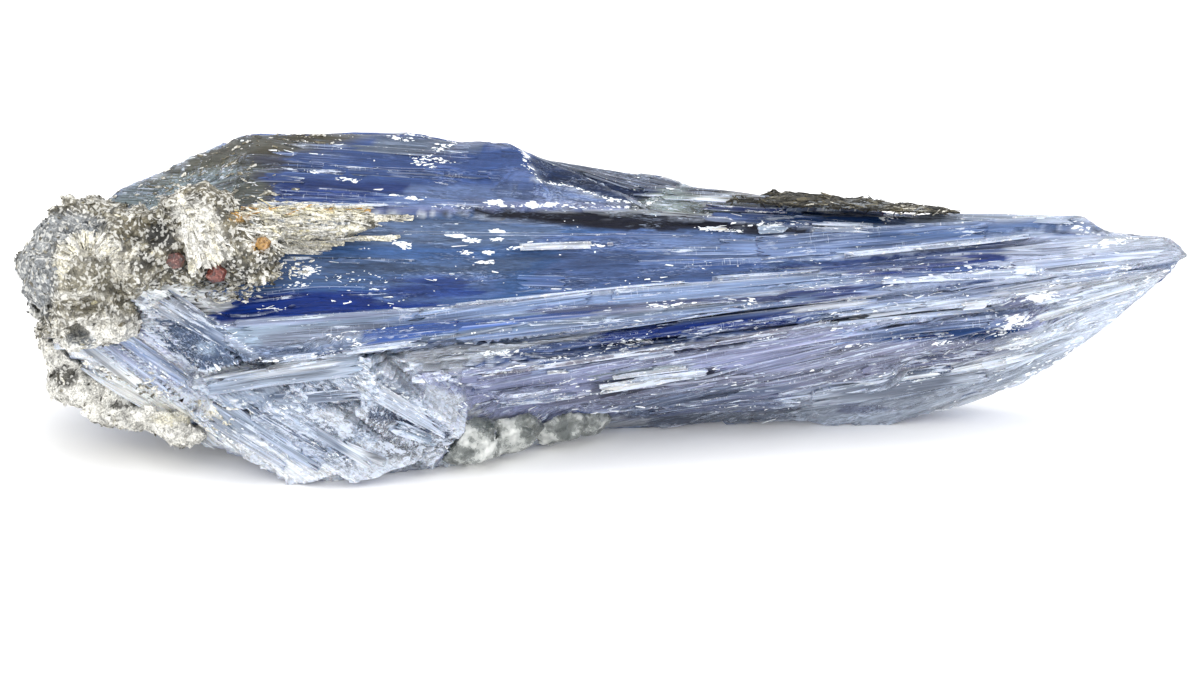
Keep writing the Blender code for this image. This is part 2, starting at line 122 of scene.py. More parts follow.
def chance(seed, *keys):  # a random share from 0 to 1 for each set of whole numbers
    mixed = np.full(np.shape(keys[0]), seed * 2654435761 % 4294967296, dtype=np.uint64)
    for key in keys:
        mixed = mixed ^ (np.asarray(key).astype(np.int64) & 0xFFFFFFFF).astype(np.uint64)
        mixed = mixed * np.uint64(0x9E3779B1) & np.uint64(0xFFFFFFFF)
        mixed = (mixed ^ (mixed >> np.uint64(15))) * np.uint64(0x85EBCA77) & np.uint64(0xFFFFFFFF)
        mixed = mixed ^ (mixed >> np.uint64(13))
    return mixed.astype(float) / 4294967296


def bundleCells(crossing, size, seed):  # the fibre bundle each crossing point lies in
    home = np.floor(crossing / size).astype(int)
    nearest = np.full(len(crossing), 1e9)
    second = nearest.copy()
    owner = home.copy()
    for stepA in (-1, 0, 1):
        for stepB in (-1, 0, 1):
            cell = home + (stepA, stepB)
            shift = np.stack([chance(own, cell[:, 0], cell[:, 1]) for own in (seed, seed + 7)], 1)
            distance = np.linalg.norm(crossing - (cell + 0.1 + 0.8 * shift) * size, axis=1)
            closer = distance < nearest
            second = np.where(closer, nearest, np.minimum(second, distance))
            nearest = np.where(closer, distance, nearest)
            owner = np.where(closer[:, None], cell, owner)
    return owner, second - nearest


def stretches(owner, along, length, seed):  # the length of a bundle between two breaks
    own = length * (0.6 + 0.9 * chance(seed, owner[:, 0], owner[:, 1]))
    place = along / own + 50 * chance(seed + 3, owner[:, 0], owner[:, 1])
    index = np.floor(place).astype(int)
    return index, place - index


# The blades' lines: one fan that meets beyond the tip, and a cross spray at the lower left

fan = {
    "meeting": np.array((84.0, 1.0, 21.6)),  # where the fan's lines would meet, in mm
    "reach": 139.0,  # from the left end to that meeting
    "crossLine": np.array((0.80, -0.12, -0.59)),  # the cross spray's line, down to the right
}


def fanPlace(points):  # (along, across, across) of each point in the fan, in mm
    away = fan["meeting"] - points
    share = np.maximum(away[:, 0], 8.0) / fan["reach"]
    along = np.linalg.norm(away, axis=1)
    return along, -away[:, 1:] / share[:, None]


def crossPlace(points):  # the same in the cross spray, whose lines are parallel
    line = fan["crossLine"] / np.linalg.norm(fan["crossLine"])
    sideA = np.cross(line, (0.0, 1.0, 0.0))
    sideA /= np.linalg.norm(sideA)
    sideB = np.cross(line, sideA)
    return points @ line, np.stack((points @ sideB, points @ sideA), axis=1)


def smoothShare(value, low, high):
    share = np.clip((value - low) / (high - low), 0.0, 1.0)
    return share * share * (3 - 2 * share)


def linear(code):  # an sRGB hex value as linear light
    parts = [int(code[i:i + 2], 16) / 255 for i in (1, 3, 5)]
    return np.array([p / 12.92 if p <= 0.04045 else ((p + 0.055) / 1.055) ** 2.4 for p in parts])


paints = {
    "deepBlue": "#04266e", "navy": "#182a62", "royal": "#26488c", "faceBlue": "#355280",
    "fadedBlue": "#4a6190", "duskBlue": "#4a5c88", "midBlue": "#6d80a8", "cloudBlue": "#8094b9",
    "paleBlue": "#92a1c4", "iceBlue": "#b0bcd3", "tipBlue": "#bfc9df", "edgeBlue": "#d0daec",
    "inkBlue": "#1c3c6e", "smokeBlue": "#5a5f7c", "stoneBlue": "#7a8699", "crossBlue": "#b9bec6",
    "lilac": "#888eaf", "lilacGrey": "#72758a", "brownLilac": "#77737f", "mauve": "#7e829f",
    "slate": "#505f78", "darkSlate": "#22324f", "deepSlate": "#3c4a62", "inkSlate": "#0c1f40",
    "denim": "#324777", "steel": "#8c9cb0", "greenGrey": "#7f8b8b", "mossGrey": "#6a706a",
    "mistGrey": "#a0a9b8", "frostGrey": "#dfe0dd", "blueBlack": "#03061a", "olive": "#5c5a4a",
    "darkOlive": "#3a3629", "cream": "#f4eedb", "palest": "#e9eef3", "white": "#e6e9ee",
}


def plainColour(name, count):
    return np.tile(linear(paints[name]), (count, 1))


# The blades' colour bands, a few of which are partly painted shade. Each has its paint, how strong it is, how soft
# its edges are in mm, and then (across, upper edge, lower edge) on the display plane in mm, from left to right.
bands = [
    ("denim", 1, 0.25, ((-50, 23.7, 21.3), (-45, 25.9, 21.1), (-40, 28.2, 21.1), (-35, 29.7, 21.1),
     (-31, 30, 21.5), (-20, 29.9, 21.5), (-17, 29.1, 21.5), (-10, 29.1, 21.5), (-6.5, 27.1, 21.5),
     (1, 23.9, 21.7), (5, 22.4, 21.7))),
    ("greenGrey", 0.9, 0.6, ((-51, 21.9, 21), (-47, 24.4, 20.7), (-40, 26.2, 21.3), (-36.5, 26.7, 22.1),
     (-33.8, 26.2, 22.7))),
    ("olive", 0.85, 0.6, ((-46, 25.9, 23.9), (-40, 28.4, 25.5), (-35, 29.9, 26.5), (-30, 30.1, 27.7),
     (-26, 29.9, 28.5), (-22.8, 29.6, 29))),
    ("darkOlive", 0.8, 0.3, ((-33.8, 29.8, 28.6), (-30, 29.9, 28.4), (-26, 29.8, 28.7), (-23.8, 29.6, 29.1))),
    ("darkOlive", 0.75, 0.6, ((-37.2, 26.7, 22.1), (-35, 28.1, 22.1), (-32.4, 27.7, 22.1),
     (-30.4, 26.7, 22.3))),
    ("denim", 1, 0.35, ((-32.8, 25.5, 22.7), (-27, 26.5, 22.3), (-20, 26.9, 22.7), (-14.8, 26.1, 23.5))),
    ("navy", 0.7, 0.3, ((-32.5, 24.9, 23.1), (-27, 24.5, 22.7), (-20, 24.3, 23.1))),
    ("denim", 0.9, 0.5, ((-18, 28.5, 25.9), (-13, 28.9, 24.7), (-8, 28.5, 24.9), (-6, 26.9, 24.7))),
    ("duskBlue", 0.8, 0.5, ((-10, 25.9, 22.3), (-5.5, 25.9, 22.1), (0, 23.9, 21.9), (4.5, 22.4, 21.8))),
    ("midBlue", 0.6, 0.3, ((-20, 23.9, 22.3), (-13, 24.1, 22.1), (-4, 23.7, 22), (4, 22.4, 21.8))),
    ("mossGrey", 0.5, 0.4, ((-24, 28.9, 27.5), (-17, 28.7, 27.1), (-13, 28.7, 27.7))),
    ("lilac", 0.6, 0.25, ((-30, 22.1, 21.8), (-20, 22.3, 21.8), (-4, 22.6, 21.8), (4, 22.4, 21.8))),
    ("mistGrey", 0.7, 0.1, ((-8.2, 28.4, 27.9), (-7.4, 27.7, 26.9), (-7, 26.3, 25.7), (-6, 24.8, 24.4),
     (-3.4, 24.3, 23.9), (-1, 23.6, 23.2), (1.4, 22.8, 22.4), (4.2, 22.5, 22.1))),
    ("smokeBlue", 0.6, 0.12, ((-17, 27.3, 26.7), (-15.2, 28.2, 27.5), (-13, 28.7, 28.1), (-10.2, 28.8, 28.3))),
    # the inkSlate and darkSlate bands below are partly the back slab's own slate blue and partly painted shade in the
    # recess under the crest's broken edge
    ("inkSlate", 0.8, 0.15, ((-7.1, 27, 26.1), (-6.5, 26.8, 25.1), (-5.9, 26.7, 24.6), (-4, 26.6, 24.2),
     (-1, 26.3, 23.6), (1.3, 25.9, 22.8), (4.2, 25.6, 22.5), (6, 25, 23.9), (8.4, 24.6, 24.2))),
    ("inkSlate", 1, 0.25, ((-5.4, 25.1, 24.5), (-3.4, 25.6, 24.3), (-1, 25.3, 23.6), (1.3, 24.9, 22.8),
     (4, 24.5, 22.5), (5.6, 24.1, 23.7))),
    ("darkSlate", 0.4, 0.12, ((-7, 26.7, 26.4), (-4, 26.4, 26.1), (0, 25.8, 25.5), (4, 25.3, 24.9),
     (8.4, 24.5, 24.3))),
    ("blueBlack", 0.9, 0.2, ((3, 22.4, 21.8), (5.5, 23.7, 21.7), (8, 24.1, 21.7), (14, 23.9, 21.8),
     (18.4, 23.2, 21.8))),
    ("mossGrey", 0.9, 0.3, ((3.2, 22.3, 21.6), (6, 23.3, 21.5), (12, 22.7, 21.5), (15, 22.3, 21.6))),
    ("palest", 0.6, 0.3, ((10, 23.1, 22.1), (14, 23.5, 22), (18.4, 23, 21.7))),
    ("greenGrey", 0.8, 0.2, ((4.3, 22.4, 21.8), (5.5, 23.3, 21.8), (6.8, 24, 21.9), (9, 23.9, 22.7))),
    ("darkOlive", 1, 0.12, ((11.4, 23.4, 22.9), (14, 23.3, 22.8), (16, 23.1, 22.7))),
    ("darkOlive", 1, 0.15, ((13, 23.2, 22.8), (16, 23.3, 22.7))),
    ("darkOlive", 1, 0.2, ((18.2, 23.2, 21.9), (24, 22.9, 21.5), (29, 22.4, 21.2), (34.8, 21.9, 21.2))),
    ("palest", 0.8, 0.2, ((20, 23.2, 22.8), (25, 22.6, 22.2), (28, 22.3, 21.9))),
    # the two blueBlack bands below are partly the dark navy blade and partly painted shade on the step under the slab
    ("blueBlack", 1, 0.2, ((-17.5, 21.8, 21.4), (-10, 21.7, 20.9), (-4, 21.5, 20.4), (2, 21.5, 20),
     (10, 21.3, 19.7), (16, 20.9, 19.5), (21.2, 20.3, 19.1))),
    ("blueBlack", 1, 0.15, ((-10, 21.3, 20.8), (-4.5, 21.4, 20.3), (2, 21.4, 19.7), (10, 21.1, 19.4),
     (17, 20.5, 19))),
    ("duskBlue", 1, 0.15, ((11.5, 21.6, 20.7), (18.2, 22, 20.1), (26, 22, 20.5), (29.5, 21.6, 20.7))),
    ("inkBlue", 0.9, 0.25, ((17, 21.7, 20.5), (25, 21.4, 20.1), (31.2, 21.4, 20.5))),
    ("faceBlue", 1, 0.2, ((-37.4, 20.1, 9.3), (-30, 20.7, 10.5), (-20, 21.1, 11.5), (-16, 21.3, 12.3),
     (-10, 20.8, 12.8), (-4, 20.3, 13.5), (2, 19.9, 14), (10, 19.6, 14.7), (16, 19.3, 15.1), (23, 18.7, 16.1),
     (30.5, 19.1, 16.9))),
    ("slate", 0.75, 0.5, ((-36.4, 20.1, 17.7), (-30, 20.3, 18.1), (-20, 21.1, 18.3), (-10, 20.7, 17.9),
     (-4, 20.1, 17.5))),
    ("slate", 0.5, 0.6, ((-36.4, 17.5, 14.7), (-27, 17.1, 14.7), (-16, 16.5, 14.5), (-8, 16.5, 15.1))),
    ("deepBlue", 1, 0.4, ((-39.5, 10.9, 9.3), (-36, 13.1, 10), (-27, 13.9, 11.1), (-20, 13.3, 11.9),
     (-15.8, 12.9, 12.2))),
    ("fadedBlue", 0.9, 0.4, ((-21, 14.4, 12.6), (-16, 15, 12.7), (-10, 14.5, 13))),
    ("deepBlue", 0.7, 0.3, ((-20, 14.1, 13.1), (-16, 14.6, 13.1), (-12.6, 14.3, 13.4))),
    ("duskBlue", 0.7, 0.6, ((-6, 19.1, 13.5), (2, 19.7, 14), (10, 19.5, 14.7), (20, 18.9, 15.9),
     (30.5, 19.1, 16.9))),
    ("cloudBlue", 0.3, 0.8, ((5, 19.3, 16.5), (11, 19.3, 16.9), (17, 19.1, 17.1))),
    ("royal", 0.45, 0.3, ((10, 16.5, 15.9), (16, 16.9, 16.1), (26, 18.1, 17.3), (30.5, 18.5, 17.9))),
    ("midBlue", 0.95, 0.25, ((14.5, 19.1, 16.7), (20, 19.5, 16.5), (27, 20.5, 16.5), (30, 21.6, 16.9),
     (34.5, 21.8, 17.3), (40, 21.7, 17.7), (46, 21.7, 18.3), (50.4, 20.7, 18.7))),
    ("mistGrey", 0.8, 0.3, ((30, 21.7, 20.5), (35, 21.8, 20.7), (40, 21.7, 20.5), (46, 21.6, 20.3),
     (49.8, 20.5, 19.3))),
    ("faceBlue", 0.7, 0.3, ((27, 19.6, 18.7), (33, 19.7, 18.7), (38, 19.9, 18.9), (45, 20.3, 19.6))),
    ("iceBlue", 0.8, 0.2, ((23, 17.4, 16.5), (30.5, 18, 17), (40, 19, 17.9), (45, 19.6, 18.6))),
    ("mistGrey", 0.6, 0.15, ((38.5, 21.1, 20.5), (42, 21.3, 20.7), (46.2, 21.2, 20.7))),
    ("faceBlue", 0.4, 0.12, ((38, 21.5, 21.2), (44, 21.5, 21.2), (48, 21.3, 21))),
    ("deepBlue", 0.9, 0.12, ((9.8, 14.8, 14.3), (16, 15.3, 14.7), (25, 16.5, 15.7), (35, 17.7, 16.9),
     (44.6, 18.9, 18.3))),
    ("duskBlue", 0.8, 0.15, ((10, 14.6, 14.3), (20, 15.7, 15), (30, 16.9, 16.1), (40, 18.1, 17.5))),
    ("deepBlue", 0.9, 0.2, ((26, 15.7, 14.9), (35, 16.7, 15.5), (43, 17.7, 16.3), (46.4, 18.5, 17.5))),
    ("deepBlue", 0.6, 0.15, ((25, 15.1, 14.5), (35, 16.3, 15.7), (42, 17.1, 16.5))),
    ("steel", 1, 0.2, ((-37.8, 10.3, 7.9), (-33.8, 10.9, 6.1), (-27, 11.4, 6.7), (-20, 11.9, 7.7),
     (-17, 12, 8.1), (-10, 11.7, 9), (-4, 11.5, 10.1))),
    ("duskBlue", 0.6, 0.4, ((-37.4, 8.1, 7.1), (-32, 8.1, 6.1), (-27, 8.4, 6.9), (-20, 9.1, 7.7),
     (-15.5, 9.7, 8.4))),
    ("lilacGrey", 0.6, 0.4, ((-33.8, 9.3, 7.9), (-26, 10.3, 8.5), (-20, 10.9, 9.3), (-13, 11.3, 9.9))),
    ("slate", 0.5, 0.2, ((-30, 10.9, 10.1), (-22, 11, 10.3), (-15, 11, 10.5))),
    ("mauve", 0.6, 0.12, ((-37.9, 10.6, 9.9), (-33.8, 10.9, 10.2), (-30, 11.1, 10.4), (-22.7, 11.6, 11),
     (-16.8, 12, 11.5))),
    ("deepBlue", 0.9, 0.15, ((-33.8, 6.7, 6.1), (-27, 7.5, 6.8), (-20, 8.2, 7.6), (-12, 9.3, 8.7))),
    ("deepBlue", 0.9, 0.25, ((18.2, 13.5, 11.8), (23, 14.1, 11.6), (26.8, 14.4, 11.8))),
    ("paleBlue", 0.9, 0.3, ((24.8, 14.2, 11.6), (30, 15, 11.5), (36, 15.6, 11.8), (41, 15.9, 12.6),
     (44.4, 16.1, 13.5))),
    ("cloudBlue", 1, 0.15, ((-20.4, 10.9, 10), (-15, 12.1, 10.8), (-8, 12.8, 11.4), (0, 13.6, 12.2),
     (10, 14.6, 12.9), (18, 15.2, 13.6), (23, 15.6, 14.2), (25.5, 15.4, 14.7))),
    ("iceBlue", 0.9, 0.1, ((-16.4, 12.1, 11.6), (-8, 13, 12.5), (0, 13.7, 13.3), (10, 14.6, 14.2),
     (18, 15.3, 14.9), (23.2, 15.7, 15.3))),
    ("royal", 0.9, 0.15, ((-22, 9.9, 8.2), (-17, 10.5, 9), (-10, 11.1, 10), (-4, 11.6, 10.7),
     (0.2, 11.9, 11.2))),
    ("slate", 0.9, 0.2, ((-18, 8.9, 7.3), (-10, 10, 8.1), (-4, 10.7, 8.7), (4, 11.6, 9.9), (12, 12.4, 11.1),
     (20.5, 13.5, 12.2))),
    ("navy", 0.8, 0.2, ((-6, 12.1, 11.2), (0, 12.4, 11.3), (4, 12.5, 11.5), (8.4, 12.9, 12.1))),
    ("navy", 0.9, 0.12, ((5.5, 12.6, 12.1), (12, 13.1, 12.4), (18, 13.5, 12.9), (20.2, 13.9, 13.4))),
    ("midBlue", 0.8, 0.2, ((-12, 9.3, 8), (0, 10.4, 9.5), (10, 11.7, 10.9), (20, 13, 12.3))),
    ("fadedBlue", 0.7, 0.2, ((25, 14.5, 13.5), (30, 15.3, 14.5), (36, 16.1, 15.3), (41, 16.7, 16.1))),
    ("duskBlue", 1, 0.15, ((-11.6, 6.1, 5.4), (-8, 7.2, 5.9), (-4, 8.2, 6.5), (2, 9.6, 7.5), (4, 10.1, 7.9),
     (10, 10.9, 8.7), (16, 11.5, 9.5), (23, 12.1, 10.3), (25.3, 11.9, 10.9))),
    ("deepBlue", 1, 0.2, ((0, 9.1, 8.1), (10, 10.5, 9.5), (20, 11.5, 10.5))),
    ("lilacGrey", 0.9, 0.15, ((-13.2, 5.4, 4.6), (-6, 6, 4.8), (2, 7.4, 6.2), (10, 8.6, 7.4), (18, 10, 8.9),
     (24.2, 10.9, 10.2))),
    ("lilac", 1, 0.25, ((-20.4, 4.3, 1.3), (-16, 5.3, 0.3), (-8, 5.7, 0.7), (0, 6.7, 0.3), (10, 7.7, 1.5),
     (20, 9.3, 1.9), (30, 10.9, 5.3), (40, 12.5, 8.1), (45.4, 13.5, 9.7))),
    ("lilacGrey", 0.7, 0.3, ((-6, 3.1, 2.2), (0, 3.6, 2.2), (10, 5.1, 2.6), (18, 5.8, 3.4), (24.5, 5.6, 4.5))),
    ("mauve", 0.7, 0.3, ((0, 7.1, 5.5), (10, 8.3, 6.7), (20, 9.7, 7.5), (26, 10.5, 8.7))),
    ("slate", 0.7, 0.3, ((2, 2.3, 0.7), (10, 3.9, 2.6), (14, 4.3, 3), (19, 4.1, 3.4))),
    ("deepSlate", 0.7, 0.4, ((3.6, 2.1, -0.5), (10, 2.8, -0.1), (18, 3, 0.3), (26, 3.1, -0.3),
     (33.6, 3.7, 1.7))),
    ("blueBlack", 0.7, 0.15, ((-1.2, 4.5, 2.8), (2, 4.7, 3), (6, 5.4, 3.9), (11.6, 6, 5.1))),
    ("greenGrey", 0.8, 0.12, ((0, 5.3, 4.6), (6, 6.1, 5.4), (10, 6.5, 5.8))),
    ("paleBlue", 0.8, 0.12, ((-6.4, 5.7, 5.2), (-4, 6.1, 5.5), (-2, 6, 5.6))),
    ("denim", 1, 0.12, ((25.8, 14.2, 13.6), (30, 14.9, 14), (36, 15.7, 14.4), (42, 16.3, 14.8),
     (45.4, 15.5, 15))),
    ("navy", 0.8, 0.1, ((34, 15.5, 14.8), (40, 16.3, 15.1), (44, 15.9, 15.1))),
    ("edgeBlue", 1, 0.1, ((28, 12.1, 11.6), (34, 12.7, 12), (39.8, 13.1, 12.2))),
    ("deepSlate", 0.9, 0.12, ((22, 11.4, 10.7), (27, 11.8, 11.2), (33.5, 12.7, 12.1))),
    ("iceBlue", 0.8, 0.12, ((22.6, 10.4, 9.9), (30, 11.3, 10.6), (40, 12.2, 11.5))),
    ("white", 0.8, 0.15, ((20, 12.2, 11.4), (24, 12.6, 11.9), (27.5, 12.8, 12.3))),
    ("midBlue", 0.9, 0.2, ((26, 9.9, 8.3), (32, 10.7, 8.9), (40, 11.7, 9.7), (41.6, 11.5, 9.9))),
    ("inkBlue", 1, 0.12, ((27.8, 9, 8.5), (30, 9.5, 8.6), (36, 10, 8.9), (41.4, 10.2, 9.4))),
    ("lilacGrey", 0.9, 0.3, ((21, 8.1, 3.9), (30, 8.5, 5.3), (40, 9.1, 7.1), (42, 9.2, 8.5))),
    ("mistGrey", 0.9, 0.5, ((19, 3.5, 1.5), (26, 4.7, 0.3), (33, 5.3, 2.3), (40, 6.9, 3.3), (45.6, 7.7, 5.9))),
    ("inkSlate", 0.6, 0.5, ((24, 4.3, 2.7), (32, 5.1, 3.1), (36, 6.1, 4.3))),
    ("mistGrey", 0.4, 0.1, ((21.8, 3.8, 3.4), (25, 4.2, 3.8), (28.5, 4.9, 4.5), (35.2, 5.9, 5))),
    ("white", 0.9, 0.1, ((36.8, 6.5, 5.7), (40, 6.9, 6), (41.8, 7.2, 6.4))),
    ("tipBlue", 0.7, 0.4, ((40, 18.3, 12.7), (46, 18.9, 12.5), (50, 19.5, 12.5), (55, 19.5, 13.7),
     (59, 18.1, 15.7))),
    ("midBlue", 0.9, 0.3, ((45.6, 14.7, 13.9), (51, 15.5, 14.6), (58.2, 16.4, 15.6))),
    ("paleBlue", 0.7, 0.15, ((44, 16.5, 15.7), (48, 17.1, 16.3), (53, 17.7, 17.1))),
    ("crossBlue", 0.7, 0.15, ((50, 18.7, 18.1), (54, 18.9, 18.3), (56.6, 18.7, 18.1))),
    ("inkSlate", 0.7, 0.1, ((50, 19.6, 19.2), (55, 19.4, 19), (57.2, 18.9, 18.6))),
    ("edgeBlue", 0.95, 0.4, ((44, 12.5, 4.2), (49, 13.7, 7.7), (52, 14.3, 10.2), (57, 15.7, 13.5))),
    ("mistGrey", 0.5, 0.5, ((38, 8.7, 3.1), (42, 9.7, 4.7), (46, 10.9, 6.7))),
    ("white", 0.6, 0.3, ((40, 13.7, 12.7), (46, 14.7, 13.5), (52, 15.1, 14.3), (57, 15.9, 15.1))),
    ("mistGrey", 0.9, 0.3, ((19.6, 2.1, -0.1), (26, 1.7, -0.5), (30, 1.9, -0.1), (34, 2.7, 1.5))),
    ("smokeBlue", 0.7, 0.15, ((22.6, 2.4, 1.5), (26, 2.3, 1.4), (29.4, 2.2, 1.6))),
    ("crossBlue", 1, 0.3, ((-57.2, 14.2, 9.7), (-55.5, 12.7, 2.5), (-51, 11.7, 0.3), (-46.2, 14.5, -1.3),
     (-45, 15.9, -1.9), (-40, 12.7, -3.5), (-37.5, 9.7, -4.3), (-33.8, 6.7, -5.7), (-33.8, 6.7, -5.7),
     (-30, 7, -6.5), (-22, 7.7, -6.3), (-20, 5.5, -6.1), (-13, 2.9, -4.5))),
    ("palest", 0.8, 0.5, ((-57.4, 14.7, 9.2), (-55.5, 12.7, 5.9), (-52.5, 8.7, 4.3))),
    ("cloudBlue", 0.8, 0.2, ((-53.6, 9.8, 8), (-50.6, 9.3, 7.8))),
    ("lilac", 0.8, 0.2, ((-51.2, 11.7, 9.5), (-47, 10.7, 5.9), (-43, 7.9, 3.3), (-39.6, 4.9, 1.9))),
    ("iceBlue", 0.8, 0.1, ((-51.6, 10.9, 10.2), (-46, 7.3, 6.3), (-40, 3.1, 2.2))),
    ("white", 0.8, 0.15, ((-50, 10.9, 10.3), (-45, 8.5, 7.5), (-39.6, 4.5, 3.5))),
    ("denim", 0.7, 0.1, ((-50.4, 12.1, 11.4), (-47, 10.7, 10), (-43.5, 8.9, 8.2))),
    ("deepSlate", 1, 0.15, ((-46, 14.3, 12.5), (-43.2, 15.3, 8.1), (-40, 12.7, 5.7), (-37.6, 9.7, 5.3),
     (-33.6, 6.6, 5.9))),
    ("iceBlue", 0.85, 0.12, ((-43.2, 15.5, 14.3), (-40, 12.5, 10.9), (-37, 9.5, 7.9), (-34.2, 7.2, 6.5))),
    ("white", 1, 0.12, ((-46.4, 15.5, 13.3), (-45, 16.2, 11.9), (-42.5, 15.5, 10.5), (-39.4, 12.1, 10.5))),
    # painted shade at the slate blade's tip, darker than its own slate blue
    ("slate", 0.85, 0.15, ((-37.8, 8.2, 6.7), (-35.5, 7.5, 6.1), (-33.6, 6.6, 5.9))),
    ("steel", 0.6, 0.2, ((-40.4, 8.4, 7.3), (-38.4, 8.5, 7.1))),
    ("frostGrey", 0.85, 0.4, ((-54.8, 7.1, 3.3), (-51, 6.1, 2.1), (-46, 5.1, 0.3), (-39.5, 2.5, -2.3))),
    ("blueBlack", 0.6, 0.2, ((-52.2, 6.6, 5.3), (-49.8, 6.1, 4.8))),
    ("cream", 0.6, 0.3, ((-46, 2.3, 0.6), (-43, 1.9, -0.3), (-39.5, 1.1, -1.5))),
    ("stoneBlue", 0.85, 0.3, ((-39.5, 4.5, 0.3), (-33.8, 2.9, -3.3), (-29, 0.7, -4.9), (-25, -1.3, -5.3))),
    ("slate", 0.8, 0.12, ((-37.4, 3.2, 2.6), (-33, 1.4, 0.3), (-28, -1.3, -2.5), (-25, -2.7, -3.7))),
    ("iceBlue", 0.8, 0.12, ((-37.5, 1.6, 0.7), (-33.8, -0.7, -1.9), (-28.8, -3.3, -4.4))),
    ("mistGrey", 0.8, 0.1, ((-36, 2.5, 2.1), (-31, 0.3, -0.4), (-27, -1.9, -2.5))),
    ("frostGrey", 0.8, 0.12, ((-39.2, 3.5, 2.9), (-37, 2.5, 1.9))),
    ("white", 0.9, 0.2, ((-40.4, 0.3, -1.3), (-36, -1.1, -3.6), (-31, -3.5, -5.8), (-26.8, -4.7, -6.3))),
    ("stoneBlue", 0.85, 0.2, ((-41.2, 4.7, 3.3), (-37, 6, 2.3), (-30, 7, 1.3), (-21.6, 7.7, 1.9))),
    ("palest", 0.9, 0.12, ((-41.1, 5, 3.9), (-37, 6, 5.2), (-34.3, 6.2, 5.5))),
    ("crossBlue", 0.95, 0.12, ((-34.6, 5.9, 4.8), (-30, 6.6, 5.5), (-26.3, 7, 6.1))),
    ("deepSlate", 0.5, 0.4, ((-30.4, 3.7, 1.3), (-21.6, 4.5, 1.5))),
    ("deepSlate", 0.8, 0.15, ((-33.8, 3.1, 2.7), (-30, 3.5, 3))),
    ("mistGrey", 0.95, 0.15, ((-26.2, 6.1, 4.1), (-23.5, 5.6, 2.3), (-20, 3.9, 0.1), (-14.3, 0.8, -1.6))),
    ("stoneBlue", 0.8, 0.12, ((-25.4, 5.5, 4.7), (-22.8, 4.7, 3.5), (-19, 2.9, 1.7))),
    ("steel", 1, 0.1, ((-23.7, 7.1, 5.5), (-22.6, 7.4, 5.3), (-21.1, 6.5, 5.4))),
    ("blueBlack", 0.7, 0.3, ((-22.8, 1.5, -3.5), (-18, 0.7, -4.5), (-13.8, -0.3, -3.7))),
    ("darkSlate", 0.75, 0.12, ((-22.8, 1.6, 0.5), (-20, 1.8, 0.3), (-17.2, 0.6, -0.6), (-14.8, -0.8, -1.6))),
    ("stoneBlue", 0.9, 0.12, ((-25.6, 0.4, -1.3), (-22.4, -0.1, -1.7))),
    ("crossBlue", 0.6, 0.3, ((-27.4, -3.7, -6.3), (-20, -3.3, -5.9), (-12.6, -1.7, -4.1))),
    # painted shade along the underside's lower edge
    ("inkSlate", 0.4, 0.3, ((-1, 1.1, -1.3), (5, 1.1, -1.1), (10, 0.9, -0.9), (19, 0.7, -0.7))),
]


def paintBands(colour, seen, jitter):
    across, up = (seen + jitter).T
    for name, strength, soft, knots in bands:
        knots = np.array(knots)
        top = np.interp(across, knots[:, 0], knots[:, 1])
        low = np.interp(across, knots[:, 0], knots[:, 2])
        inside = smoothShare(np.minimum(top - up, up - low), -soft, soft)
        ends = np.minimum(across - knots[0, 0], knots[-1, 0] - across)
        mask = (strength * inside * smoothShare(ends, -soft, soft))[:, None]
        colour[:] = colour * (1 - mask) + linear(paints[name]) * mask


def addNode(tree, kind, settings=None, **links):  # a node with its settings and what feeds it
    made = tree.nodes.new(kind)
    for name, value in (settings or {}).items():
        if isinstance(name, str) and hasattr(made, name):
            setattr(made, name, value)
        else:
            made.inputs[name].default_value = value
    for name, source in links.items():
        tree.links.new(source, made.inputs[int(name[2:])] if name.startswith("at") else made.inputs[name])
    return made


def rampStops(node, stops):  # (place, grey or colour) stops on a colour ramp
    ramp = node.color_ramp
    while len(ramp.elements) > 1:
        ramp.elements.remove(ramp.elements[-1])
    for i, (place, value) in enumerate(stops):
        stop = ramp.elements[0] if i == 0 else ramp.elements.new(place)
        stop.position = place
        colour = linear(value) if isinstance(value, str) else (value,) * 3
        stop.color = (*colour, 1)
    return node


def newMaterial(name):
    made = bpy.data.materials.new(name)
    made.use_nodes = True
    made.node_tree.nodes.clear()
    return made, made.node_tree


def finishMaterial(tree, shader):
    out = tree.nodes.new("ShaderNodeOutputMaterial")
    tree.links.new(shader.outputs["BSDF"], out.inputs["Surface"])


